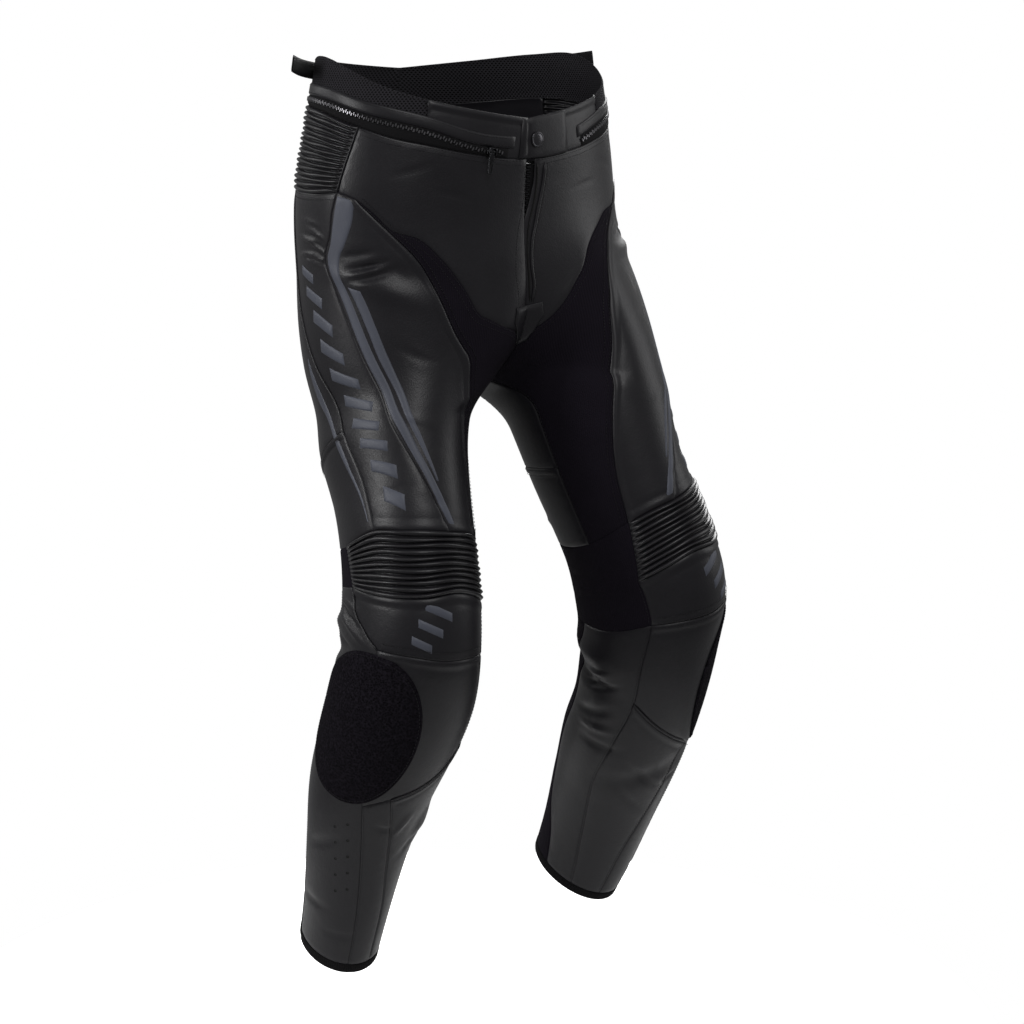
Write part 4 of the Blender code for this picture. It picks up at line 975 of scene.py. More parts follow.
# angle, down: the top edge of the flap over the connection zip
FLAP_TOP = [(-90, 0.014), (-73, 0.008), (-52, -0.010), (-27, -0.024), (3, -0.040), (30, -0.0415),
            (60, -0.036), (95, -0.033)]


def finely(points, closed=True):
    """The outline with points added so that none of its sides is long."""
    points = np.asarray(points, float)
    ends = np.roll(points, -1, axis=0) if closed else points[1:]
    fine = []
    for a, b in zip(points, ends):
        size = float(np.hypot(*(flat([b]) - flat([a]))[0]))
        count = max(1, ceil(size / EDGE_STEP))
        fine += [a + (b - a) * k / count for k in range(count)]
    if not closed:
        fine.append(points[-1])
    return np.array(fine)


def band_mark(start, top, bottom):
    """A band that runs beside the flap's top edge."""
    angle = np.linspace(start, 90.0, 60)
    down = along(FLAP_TOP, 1, angle)
    upper = np.stack([angle, down + top], axis=1)
    lower = np.stack([angle, down + bottom], axis=1)
    return finely(np.concatenate([upper, lower[::-1]]))


def tape_mark(start):
    """The connection zip's tape, from the flap down to the waist seam."""
    angle = np.linspace(start, 90.0, 60)
    top = along(FLAP_TOP, 1, angle) + TAPE_TOP
    bottom = np.array([max(level("waist", a) - 0.0010, t + TAPE_WIDTH * 0.6) for a, t in zip(angle, top)])
    upper, lower = np.stack([angle, top], axis=1), np.stack([angle, bottom], axis=1)
    return finely(np.concatenate([upper, lower[::-1]]))


def tab_mark(end):
    """Half of the front tab, from the body's middle to this angle."""
    angle = np.linspace(end, -90.0, 4)
    upper = np.array([(a, level("rim", a) + 0.0008) for a in angle])
    lower = np.array([(a, level("waist", a) - 0.0008) for a in angle])
    upper[-1, 0] = -float(limit(upper[-1, 1]))
    lower[-1, 0] = -float(limit(lower[-1, 1]))
    middle = np.linspace(upper[-1, 1], lower[-1, 1], 9)[1:-1]
    middle = np.stack([-limit(middle), middle], axis=1)
    return np.concatenate([finely(upper, False), middle, finely(lower[::-1], False)])


def mesh_band(back):
    """The band's stretch mesh, one piece round the back."""
    regions = [(side, *facets(back)) for side in (RIGHT, LEFT)]
    verts, faces, uv = shell(regions)
    piece = declare(add_mesh("waistband_back_mesh", verts, faces, LOOK["mesh"], uv),
                    ["waistband_back"])
    width, length, area = cut_of([back, back])


def hips():
    """The lower fronts, the hip ribs, the seat, the stretch fronts, the crotch patch and the fly."""
    apron = outline(run("waist", 0, 5), run("hip_front"), run("apron"), run("front_middle", 7, 1))
    left_apron = outline(run("waist", 1, 5), run("hip_front"), run("apron"), run("front_middle", 7, 3),
                         run("fly", 3, 0))
    panel("apron", apron, LOOK["leather"], SIDES[:1])
    panel("apron", left_apron, LOOK["leather"], SIDES[1:])
    ribbed("hip_ribs", run("waist", 5, 7), run("hip_bottom"), HIP_RIBS, 0.9)
    seat = outline(run("waist", 7, 9), run("back_middle", 1, 10), run("inseam", 0, 3, 360),
                   run("cross", 0, 4, 360), run("side", 5, 0), run("hip_back", 1, 0))
    panel("seat", seat, LOOK["leather"])
    stretch = outline(run("apron", 1, 9), run("front_middle", 7, 11), run("inseam"), run("back_top", 1, 0),
                      run("thigh", 10, 0))
    panel("stretch_front", stretch, LOOK["stretch"])
    cloth("crotch_patch_cloth", [(side, crotch_mark()) for side in (RIGHT, LEFT)], LOOK["leather"],
          ["crotch_patch"], GAP + WALL + 0.0002, 0.0014, step=FINE_STEP)
    fly()


def crotch_mark():
    """Half of the patch over the fly's lower end."""
    rows = np.array([(-109, 0.212), (-114, 0.229), (-124, 0.243), (-132, 0.2515)])
    levels = np.linspace(0.2535, 0.2115, 9)
    middle = np.stack([-limit(levels), levels], axis=1)
    return np.concatenate([finely(rows, False), middle])


def fly():
    """The fly zip's tape, behind the slit."""
    regions = []
    levels = np.linspace(*FLY_ZIP, 34)
    for side in (RIGHT, LEFT):
        edge = np.stack([-limit(levels), levels], axis=1)
        far = np.stack([-limit(levels) + 5.0, levels], axis=1)
        polygon = np.concatenate([finely(far, False), edge[::-1]])
        regions.append((side, *facets(polygon)))
    verts, faces, uv = shell(regions, -WALL - 0.0018, 0.0008)
    piece = declare(add_mesh("fly_tape_cloth", verts, faces, LOOK["tape"], uv), ["fly_tape"])


# angle, down, angle, down: left and right edge of each stripe, from its top
STRIPE_ONE = [(-15.2, 0.0705, -24.5, 0.0745), (-13, 0.093, -23.5, 0.096), (-10.8, 0.1165, -19.5, 0.1175),
              (-8.3, 0.132, -16, 0.132), (-9.8, 0.149, -15.8, 0.150), (-14, 0.168, -19.5, 0.169),
              (-25.7, 0.2165, -30.7, 0.214), (-39.5, 0.275, -44.5, 0.271), (-49.7, 0.3095, -54.7, 0.306),
              (-65, 0.3485, -70.2, 0.344), (-77, 0.3785, -82, 0.375), (-88, 0.401, -94, 0.400),
              (-99, 0.422, -106, 0.422), (-105.6, 0.434, -112, 0.434)]
STRIPE_TWO = [(-20.5, 0.1655, -27.5, 0.169), (-33, 0.2125, -38.5, 0.2125), (-40.5, 0.2465, -46, 0.2455),
              (-49.5, 0.281, -54.5, 0.280), (-62, 0.317, -66.5, 0.3155), (-77.5, 0.356, -81.5, 0.3545),
              (-87, 0.380, -90, 0.379), (-95.5, 0.400, -97.5, 0.400)]


STRIPE_THREE = [(14.2, 0.243, 13.2, 0.243), (14.2, 0.2615, 9.5, 0.2585), (11.5, 0.2825, 4.5, 0.2795),
                (0.5, 0.3065, -5.5, 0.3125), (-11.5, 0.344, -16, 0.344), (-21, 0.377, -24.5, 0.3785),
                (-29, 0.403, -31.5, 0.404), (-34, 0.424, -35.5, 0.4245)]


def stripe_mark(rows):
    """A stripe's outline, down one edge and up the other."""
    rows = np.array(rows, float)
    steps = np.linspace(0, len(rows) - 1, 8 * (len(rows) - 1) + 1)
    table = [(k, *row) for k, row in enumerate(rows)]
    sides = [np.stack([along(table, k, steps), along(table, k + 1, steps)], axis=1) for k in (1, 3)]
    return finely(np.concatenate([sides[0], sides[1][::-1]]))


def thighs():
    """The thigh's front, side and back, with its stripes."""
    front = outline(run("apron", 0, 1), run("thigh"), run("rib_top", 6, 4), run("stripe", 8, 0))
    panel("thigh_front", front, LOOK["leather"],
          welts=[run("thigh"), run("rib_top", 6, 4)])
    for side, word in SIDES:
        for name, rows in (("stripe_one", STRIPE_ONE), ("stripe_two", STRIPE_TWO)):
            cloth(f"{name}_{word}_film", [(side, stripe_mark(rows))], LOOK["grey"],
                  [f"{name}_{word}"], FILM_LIFT, FILM, step=FILM_STEP)
        cloth(f"stripe_three_{word}_film", [(side, stripe_mark(STRIPE_THREE))], LOOK["grey"],
              [], GAP + 0.0005, FILM, step=FILM_STEP)
    side_panel = outline(run("hip_bottom"), run("side"), run("rib_top", 2, 4), run("stripe", 8, 0))
    panel("side_panel", side_panel, LOOK["leather"],
          welts=[run("rib_top", 2, 4)])
    back = outline(run("inseam", 3, 4), run("back_top", 1, 5), run("rib_top", 0, 2, -360),
                   run("side", 7, 5, -360), run("cross", 4, 0))
    panel("thigh_back", back, LOOK["leather"],
          welts=[run("cross", 4, 0)])


def knees():
    """The knee's ribs, its top and the stretch behind it."""
    ribbed("knee_ribs", run("rib_top"), run("rib_bottom"), KNEE_RIBS, 1.0)
    top = outline(run("rib_bottom"), run("knee_in"), run("knee_bottom", 4, 0), run("knee_out", 3, 0))
    panel("knee_top", top, LOOK["leather"],
          welts=[run("rib_bottom")])
    back = outline(run("back_top"), run("rib_out", 0, 1, -360), run("shin_top", 0, 1, -360), run("back_out"),
                   run("back_bottom", 4, 0), run("knee_in", 2, 0), run("rib_in", 1, 0))
    panel("knee_back", back, LOOK["stretch"])


def patch_mark():
    """The round loop patch that holds the knee slider: an even oval over the knee's outer side."""
    rows = []
    for k in range(90):
        turn = 2 * pi * k / 90
        span = 55 * abs(cos(turn)) ** 0.86 * (1 if cos(turn) > 0 else -1)
        rows.append((-38 + span, 0.6145 + 0.0775 * sin(turn)))
    return finely(rows)


def shins():
    """The protector's cover, the shin's panels, the loop patch, the gusset and the hem."""
    patch = patch_mark()
    armour = outline(run("knee_bottom"), run("shin_inner", 0, 2), run("armour"), run("under_patch", 2, 0))
    panel("knee_armour", armour, LOOK["leather"],
          welts=[run("knee_bottom")])
    outer = outline(run("shin_top", 1, 0), run("knee_out"), run("under_patch"), run("shin_one"),
                    run("hem", 2, 0), run("gusset_out", 4, 0, 360), run("back_out", 1, 0, 360))
    panel("shin_outer", outer, LOOK["leather"])
    for side, word in SIDES:
        cloth(f"slider_patch_{word}_pile", [(side, patch)], LOOK["patch"],
              [f"slider_patch_{word}"], PATCH_LIFT, 0.0014)
    front = outline(run("armour", 4, 3), run("shin_two"), run("hem", 3, 2), run("shin_one", 4, 0))
    panel("shin_front", front, LOOK["leather"])
    inner = outline(run("armour", 3, 0), run("shin_inner", 2, 6), run("hem", 4, 3), run("shin_two", 5, 0))
    panel("shin_inner", inner, LOOK["leather"],
          welts=[run("armour", 3, 0)])
    calf = outline(run("back_bottom", 0, 2), run("gusset_in"), run("hem", 5, 4), run("shin_inner", 6, 0))
    panel("calf_inner", calf, LOOK["leather"])
    gusset = outline(run("back_bottom", 2, 4), run("gusset_out"), run("hem", 7, 5), run("gusset_in", 6, 0))
    panel("calf_gusset", gusset, LOOK["stretch"])
    for side, word in SIDES:
        regions = []
        for first, last in ((0, 4), (4, 7)):
            band = outline(run("hem", first, last), run("hem_end", last, first))
            regions.append((side, *facets(band, step=FINE_STEP)))
        verts, faces, uv = shell(regions, 0.0003, 0.0020)
        piece = declare(add_mesh(f"hem_band_{word}_knit", verts, faces, LOOK["knit"], uv),
                        [f"hem_band_{word}"])
        round_it = float(2 * pi * reach(HEM_LINE))


GATHER = 1.9  # how much longer the ribbed leather is cut than it hangs


def ribbed(name, top, bottom, ribs, evenness):
    """Accordion leather: rounded tubes with deep clefts, dying out at both side seams."""
    columns = 44
    share = np.linspace(0, 1, columns + 1)
    ends = []
    for seam in (top, bottom):
        travel = np.concatenate([[0], np.cumsum(np.hypot(*np.diff(flat(seam), axis=0).T))])
        ends.append(np.stack([np.interp(share, travel / travel[-1], seam[:, k]) for k in (0, 1)], axis=1))
    each = 10
    rows = np.arange(ribs * each + 1) / each
    fade = ease(np.minimum(share, 1 - share), 0.0, 0.05)
    for side, word in SIDES:
        places, lift = [], []
        for row in rows:
            uneven = 0.10 * np.sin(row * 2.3 + share * 9.0) * np.sin(share * pi)
            t = (row + uneven * (0 < row < ribs)) / ribs
            places.append(ends[0] * (1 - t)[:, None] + ends[1] * t[:, None])
            phase = row % 1
            tube = max(sin(pi * phase), 0.0) ** 0.55
            height = RIB_RISE * (evenness + 0.12 * np.sin(share * 17 + row * 1.7))
            lift.append(height * tube * fade - (0.0006 + 0.0012 * fade) * (1 - tube))
        places, lift = np.concatenate(places), np.concatenate(lift)
        wide = columns + 1
        index = np.arange(len(rows) * wide).reshape(len(rows), wide)
        a, b, c, d = (index[:-1, :-1], index[1:, :-1], index[1:, 1:], index[:-1, 1:])
        tris = np.concatenate([np.stack(row, -1).reshape(-1, 3) for row in ([a, b, c], [a, c, d])])
        verts, faces, uv = shell([(side, places, tris, lift)], 0.0, 0.0009)
        piece = declare(add_mesh(f"{name}_{word}_cloth", verts, faces, LOOK["ribbed"], uv),
                        [f"{name}_{word}"])
        polygon = np.concatenate([top, bottom[::-1]])
        width, length, area = cut_of([polygon])
        round(length * GATHER, 3)
        round(area * GATHER, 5)


def add_solid(name, parts, look, nodes=(), body="pants", smooth=True):
    """Many closed (verts, faces) as one piece."""
    verts, faces = [], []
    for more_verts, more_faces in parts:
        base = len(verts)
        verts += [tuple(v) for v in more_verts]
        faces += [tuple(base + k for k in face) for face in more_faces]
    return declare(add_mesh(name, verts, faces, look, smooth=smooth), nodes, body)


def frame_at(side, angle, down, lift=0.0):
    """(point, across, below, out) on the surface: across runs towards the wearer's left."""
    (point,), (out,) = skin(side, np.array([angle]), np.array([down]))
    below = form(side, angle, down + 0.004) - form(side, angle, down - 0.004)
    below -= out * (below @ out)
    below /= np.linalg.norm(below)
    across = -np.cross(out, below)
    return point + out * lift, across, below, out


def spaced(path, pitch):
    """Places along the path at this pitch, with the direction there, on the plane."""
    travel = np.concatenate([[0], np.cumsum(np.linalg.norm(np.diff(path, axis=0), axis=1))])
    count = max(2, int(round(travel[-1] / pitch)))
    at = (np.arange(count) + 0.5) * travel[-1] / count
    spots = np.stack([np.interp(at, travel, path[:, k]) for k in (0, 1)], axis=1)
    ahead = np.stack([np.interp(at + 0.0004, travel, path[:, k]) for k in (0, 1)], axis=1)
    behind = np.stack([np.interp(at - 0.0004, travel, path[:, k]) for k in (0, 1)], axis=1)
    way = ahead - behind
    return spots, way / np.maximum(np.linalg.norm(way, axis=1, keepdims=True), 1e-12)


STITCH_PITCH = 0.0031
STITCH_LENGTH = 0.0025
STITCH_WIDTH = 0.00055
STITCH_RISE = 0.00034


def stitches(side, path, lift):
    """(verts, faces) of a row of sewn stitches: each dips into the cloth at both ends."""
    spots, way = spaced(path, STITCH_PITCH)
    across = np.stack([-way[:, 1], way[:, 0]], axis=1)
    rows = []
    half, wide = STITCH_LENGTH / 2, STITCH_WIDTH / 2
    profile = ((-1.0, 0, -0.6), (-0.6, 1, 0.15), (-0.6, 0, 1.0), (-0.6, -1, 0.15), (0.6, 1, 0.15),
               (0.6, 0, 1.0), (0.6, -1, 0.15), (1.0, 0, -0.6))
    for along_it, beside_it, rise in profile:
        place = unflat(spots + way * half * along_it + across * wide * beside_it)
        points, _ = skin(side, place[:, 0], place[:, 1], lift + STITCH_RISE * rise)
        rows.append(points)
    verts = np.stack(rows, axis=1).reshape(-1, 3)
    one = ((0, 1, 2), (0, 2, 3), (0, 3, 1), (1, 4, 5, 2), (2, 5, 6, 3), (3, 6, 4, 1),
           (7, 5, 4), (7, 6, 5), (7, 4, 6))
    faces = [tuple(8 * k + v for v in face) for k in range(len(spots)) for face in one]
    return verts, faces


# seam, first row, last row, distances of its stitch lines: above zero lies to the left of the seam's way
SEWN = [
    ("rim", 0, 8, (0.0024,)),
    ("waist", 0, 9, (-0.0020,)),
    ("waist", 0, 5, (0.0018, 0.0062)),
    ("waist", 7, 9, (0.0018,)),
    ("binding", 0, None, (0.0018, -0.0018)),
    ("hip_front", 0, None, (-0.0024, -0.0072)),
    ("hip_back", 0, None, (-0.0020,)),
    ("apron", 0, None, (-0.0018, -0.0066)),
    ("hip_bottom", 0, None, (0.0018, 0.0062)),
    ("thigh", 0, None, (0.0018, 0.0066)),
    ("cross", 0, None, (-0.0018, -0.0066)),
    ("side", 0, None, (0.0018,)),
    ("inseam", 0, None, (-0.0018,)),
    ("rib_top", 0, None, (-0.0018, -0.0070)),
    ("rib_bottom", 0, None, (0.0018, 0.0064)),
    ("knee_bottom", 0, None, (0.0020, -0.0020, 0.0070)),
    ("knee_out", 0, None, (0.0020,)),
    ("knee_in", 0, None, (0.0020,)),
    ("armour", 0, None, (0.0020,)),
    ("shin_one", 0, None, (0.0020,)),
    ("shin_two", 0, None, (0.0020,)),
    ("shin_inner", 0, None, (0.0020,)),
    ("back_out", 0, None, (0.0020,)),
    ("gusset_in", 0, None, (0.0020,)),
    ("gusset_out", 0, None, (-0.0020,)),
    ("hem", 0, None, (-0.0030,)),
]


def sewing():
    """Every stitch line, one piece for each leg."""
    patch = flat(patch_mark())
    for side, word in SIDES:
        parts = []
        for name, first, last, distances in SEWN:
            seam = flat(run(name, first, last))
            for distance in distances:
                row = beside(seam, distance)
                if len(row) > 4:
                    parts.append(stitches(side, row[1:-1], WELT_RISE * (name in RAISED)))
        parts.append(stitches(side, beside(patch, -0.0030 * turn_of(patch), True), PATCH_LIFT))
        start = FLAP_START[side]
        flap = flat(band_mark(start, 0.0020, FLAP_WIDTH - 0.0020))
        half = len(flap) // 2
        for row in (flap[2:half - 2], flap[half + 2:-2]):
            parts.append(stitches(side, row, FLAP_LIFT))
        if side == LEFT:
            parts.append(stitches(side, flat(curve_of(FLY_LAP, 0.8)), FLY_RISE))
        else:
            parts.append(stitches(side, flat(curve_of(FLY_STITCH, 0.0)), 0.0))
        add_solid(f"stitching_{word}", parts, LOOK["thread"])


RAISED = ("thigh", "rib_top", "rib_bottom", "knee_bottom", "armour", "cross")
# angle, down: the fly's left lap edge, its slit, and the stitch line on its right side
FLY_LAP = [(-84.5, 0.040), (-86, 0.062), (-88.5, 0.086), (-92, 0.1145), (-96.5, 0.1385), (-101.5, 0.164),
           (-106.5, 0.1895), (-113, 0.209)]
FLY_SLIT = [(-87.6, 0.040), (-88.5, 0.062), (-91, 0.092), (-95.5, 0.1205), (-100, 0.1475), (-106.5, 0.1805),
            (-114, 0.209)]
FLY_STITCH = [(-91, 0.0425), (-92.5, 0.0755), (-93.5, 0.1025), (-94.5, 0.1295), (-96.5, 0.1535),
              (-100.5, 0.1775), (-109.5, 0.209)]
FLY_RISE = 0.0012
FLY_ZIP = (0.040, 0.205)  # the lengths down at which its tape starts and ends


def curve_of(rows, inset):
    """A smooth run through the rows, moved back from the garment's middle by this many degrees."""
    table = [(k, *row) for k, row in enumerate(rows)]
    steps = np.linspace(0, len(rows) - 1, 12 * (len(rows) - 1) + 1)
    angle, down = along(table, 1, steps), along(table, 2, steps)
    return np.stack([np.maximum(angle + inset, -limit(down) + 0.4), down], axis=1)


def fly_edges():
    """The fly's left lap, a rounded edge raised beside the slit, and a near-black cord that paints the slit's
    shadow.
    """
    lap = cording(LEFT, flat(curve_of(FLY_LAP, 0.0)), 0.0017, 0.0002)
    add_solid("fly_lap_edge", [lap], LOOK["leather"])
    slit = cording(LEFT, flat(curve_of(FLY_SLIT, 0.0)), 0.0009, 0.0)
    add_solid("fly_slit_shadow", [slit], LOOK["hole"])


def turn_of(plane):
    """-1 where the outline runs one way round and 1 where it runs the other."""
    return -1 if double_area(plane) > 0 else 1


def cording(side, path, radius, lift):
    """(verts, faces) of a rounded cord that lies half sunk along a path on the plane."""
    count = 8
    way = np.gradient(path, axis=0)
    way /= np.maximum(np.linalg.norm(way, axis=1, keepdims=True), 1e-12)
    across = np.stack([-way[:, 1], way[:, 0]], axis=1)
    travel = np.linspace(0, 1, len(path))
    thin = np.clip(np.minimum(travel, 1 - travel) / 0.04, 0.15, 1)
    rings = []
    for k in range(count):
        turn = 2 * pi * k / count
        place = unflat(path + across * (radius * thin * cos(turn))[:, None])
        points, _ = skin(side, place[:, 0], place[:, 1], lift + radius * thin * sin(turn))
        rings.append(points)
    verts = np.stack(rings, axis=1).reshape(-1, 3)
    faces = []
    for r in range(len(path) - 1):
        for k in range(count):
            a, b = r * count + k, r * count + (k + 1) % count
            faces.append((a, b, b + count, a + count))
    faces.append(tuple(range(count))[::-1])
    faces.append(tuple(len(verts) - count + k for k in range(count)))
    if side == LEFT:
        faces = [f[::-1] for f in faces]
    return verts, faces


# seam, first row, last row, radius: the piped seams
PIPED = [
    ("hip_front", 0, None, 0.0013),
    ("side", 0, 5, 0.0011),
    ("knee_out", 0, None, 0.0011),
    ("armour", 0, 3, 0.0010),
]


def piping():
    """The corded seams."""
    for side, word in SIDES:
        parts = [cording(side, flat(run(name, first, last)), radius, 0.0003)
                 for name, first, last, radius in PIPED]
        add_solid(f"piping_{word}", parts, LOOK["leather"])


# angle, down, tilt, length: the plain slanted bars down the side panel, from the top
BARS = [(8, 0.156, -24, 0.026), (3, 0.183, -24, 0.030), (-4, 0.210, -24, 0.032), (-10, 0.238, -24, 0.034),
        (-17, 0.266, -24, 0.036), (-26, 0.295, -24, 0.038), (-35, 0.324, -24, 0.038),
        (-44, 0.353, -24, 0.036), (-52, 0.382, -24, 0.032), (-59, 0.409, -24, 0.026)]
BAR_WIDTH = 0.0125
# across, down, length: the three short bars on each knee, in metres from its middle
KNEE_BARS = [(-0.010, -0.013, 0.034), (0.0, 0.0, 0.030), (0.010, 0.013, 0.024)]
KNEE_MIDDLE = (-84, 0.510)
KNEE_BAR_WIDTH = 0.0068


def slanted(middle, tilt, length, width):
    """A bar on the plane, with its ends cut upright."""
    turn = radians(tilt)
    along_it = np.array([cos(turn), sin(turn)]) * length / 2
    up = np.array([0.0, width / 2])
    corners = [middle - along_it - up, middle + along_it - up, middle + along_it + up, middle - along_it + up]
    return finely(unflat(np.array(corners)))


def bars():
    """The plain grey trim: a ladder of slanted bars on each thigh's side and three on each knee."""
    for side, word in SIDES:
        ladder = [slanted(flat([(at, down)])[0], tilt, length, BAR_WIDTH) for at, down, tilt, length in BARS]
        middle = flat([KNEE_MIDDLE])[0]
        knee = [slanted(middle + np.array([x, y]), -16, length, KNEE_BAR_WIDTH) for x, y, length in KNEE_BARS]
        for name, marks, hangs in (("side_bars", ladder, "side_panel"), ("knee_bars", knee, "knee_top")):
            regions = [(side, *facets(mark, step=FINE_STEP)) for mark in marks]
            verts, faces, uv = shell(regions, FILM_LIFT, FILM)
            piece = declare(add_mesh(f"{name}_{word}_film", verts, faces, LOOK["grey"], uv))
            area = sum(cut_of([mark])[2] for mark in marks)
            wide = max(row[-1] for row in (BARS if name == "side_bars" else KNEE_BARS))
            round(area / wide, 4)


# angle, down, angle, down, holes: the rows of punched holes on the shins
HOLES = [(-44, 0.725, -52, 0.797, 5), (-57, 0.716, -66, 0.791, 5)]
HOLE_RADIUS = 0.0011
HOLE_SIDES = 12
# share of the radius, lift: the rings from a hole's outer rim to its bottom
HOLE_RINGS = ((1.6, 0.00002), (1.3, 0.00020), (1.0, 0.00016), (0.9, 0.00005))


def perforations():
    """The rows of holes punched in the shins."""
    for side, word in SIDES:
        parts = []
        for a0, d0, a1, d1, count in HOLES:
            for t in np.linspace(0, 1, count):
                point, across, below, out = frame_at(side, a0 + (a1 - a0) * t, d0 + (d1 - d0) * t, 0.0)
                turns = [2 * pi * k / HOLE_SIDES for k in range(HOLE_SIDES)]
                circle = [across * cos(turn) + below * sin(turn) for turn in turns]
                verts = [point + spoke * HOLE_RADIUS * r + out * lift
                         for r, lift in HOLE_RINGS for spoke in circle]
                last = len(verts) - HOLE_SIDES
                verts.append(point + out * 0.00004)
                sides = [(k, (k + 1) % HOLE_SIDES) for k in range(HOLE_SIDES)]
                faces = [(low + a, low + b, low + HOLE_SIDES + b, low + HOLE_SIDES + a)
                         for low in range(0, last, HOLE_SIDES) for a, b in sides]
                faces += [(last + a, last + b, len(verts) - 1) for a, b in sides]
                parts.append((verts, facing(verts, faces, out)))
        add_solid(f"punched_holes_{word}", parts, LOOK["hole"])


def facing(verts, faces, out):
    """The faces turned so that they look along out."""
    a, b, c = (np.array(verts[k]) for k in faces[-1][:3])
    return [f[::-1] for f in faces] if np.cross(b - a, c - a) @ out < 0 else faces


TOOTH_PITCH = 0.0058
TOOTH_HALF = 0.00095  # half its width along the zip
TOOTH_REACH = 0.0026
TOOTH_RISE = 0.0011
TEETH_START = {RIGHT: -84, LEFT: -68}  # the angle of their front end


def teeth(side, path, lift):
    """(verts, faces) of a closed zip's two rows of teeth, which mesh along the path."""
    spots, way = spaced(path, TOOTH_PITCH / 2)
    across = np.stack([-way[:, 1], way[:, 0]], axis=1)
    row = np.where(np.arange(len(spots)) % 2 == 0, 1.0, -1.0)[:, None]
    corners = []
    for u, v, rise in ((-1, -0.5, 0), (1, -0.5, 0), (1, 1, 0), (-1, 1, 0), (-0.7, -0.3, 1), (0.7, -0.3, 1),
                       (0.7, 0.8, 1), (-0.7, 0.8, 1)):
        place = unflat(spots + way * u * TOOTH_HALF + across * row * v * TOOTH_REACH)
        points, _ = skin(side, place[:, 0], place[:, 1], lift + TOOTH_RISE * rise)
        corners.append(points)
    verts = np.stack(corners, axis=1).reshape(-1, 3)
    one = ((0, 1, 2, 3), (4, 7, 6, 5), (0, 4, 5, 1), (1, 5, 6, 2), (2, 6, 7, 3), (3, 7, 4, 0))
    faces = []
    for k in range(len(spots)):
        turned_over = (k % 2 == 0) == (side == RIGHT)
        faces += [tuple(8 * k + v for v in (face[::-1] if turned_over else face)) for face in one]
    return verts, faces


def zips():
    """The teeth of the connection zip and of the fly."""
    for side, word in SIDES:
        angle = np.linspace(TEETH_START[side] + 2.0, 88, 200)
        down = along(FLAP_TOP, 1, angle) + TAPE_TOP + TAPE_WIDTH / 2
        path = flat(np.stack([angle, down], axis=1))
        row = [teeth(side, path, TAPE_LIFT)]
        add_solid(f"zip_teeth_{word}", row, LOOK["teeth"], smooth=False)
    levels = np.linspace(FLY_ZIP[0] + 0.0005, FLY_ZIP[1] - 0.0005, 60)
    path = flat(np.stack([-limit(levels) + 0.9, levels], axis=1))
    add_solid("fly_teeth", [teeth(LEFT, path, -WALL - 0.0014)], LOOK["metal"], smooth=False)


def ring_solid(rings):
    """(verts, faces) of rings of points one above the other, closed at both ends."""
    count = len(rings[0])
    verts = [p for ring in rings for p in ring]
    faces = [tuple(range(count))[::-1], tuple(len(verts) - count + k for k in range(count))]
    for r in range(len(rings) - 1):
        for k in range(count):
            a, b = r * count + k, r * count + (k + 1) % count
            faces.append((a, b, b + count, a + count))
    return outward(verts, faces)


def outward(verts, faces):
    """The closed form's faces turned to look out."""
    verts = [np.asarray(v, float) for v in verts]
    total = sum(float(verts[f[0]] @ np.cross(verts[f[k]], verts[f[k + 1]]))
                for f in faces for k in range(1, len(f) - 1))
    return verts, ([f[::-1] for f in faces] if total < 0 else faces)


def rounded(width, length, corner, count=6):
    """A rectangle with round corners, as points about its middle."""
    points = []
    for sx, sy, start in ((1, 1, 0), (-1, 1, 90), (-1, -1, 180), (1, -1, 270)):
        for k in range(count + 1):
            turn = radians(start + 90 * k / count)
            points.append((sx * (width / 2 - corner) + corner * cos(turn),
                           sy * (length / 2 - corner) + corner * sin(turn)))
    return points


def slab(base, shape, low, high, bevel):
    """(verts, faces) of a plate with softened edges: shape lies across and below, low to high runs out."""
    point, across, below, out = base
    rings = []
    for rise, inset in ((low, bevel), (low + bevel, 0.0), (high - bevel, 0.0), (high, bevel)):
        ring = []
        for x, y in shape:
            size = max(np.hypot(x, y), 1e-9)
            share = 1 - inset / size
            ring.append(point + across * x * share + below * y * share + out * rise)
        rings.append(ring)
    return ring_solid(rings)


SLIDER_ANGLE = -77.0
# width, length, corner: the slider's body and each of the two cheeks on it
SLIDER_SHAPE = (0.0092, 0.0080, 0.0018)
CHEEK_SHAPE = (0.0013, 0.0074, 0.0006)
CHEEK_ACROSS = 0.0039
SLIDER_LIFT = GAP + 0.0010 + 0.0006
PIVOT_OUT = 0.0042  # the pull tab's axis above the slider's base
TAB_LENGTH = 0.023
TAB_WIDTH = 0.0056
KNUCKLE_RADIUS = 0.0012


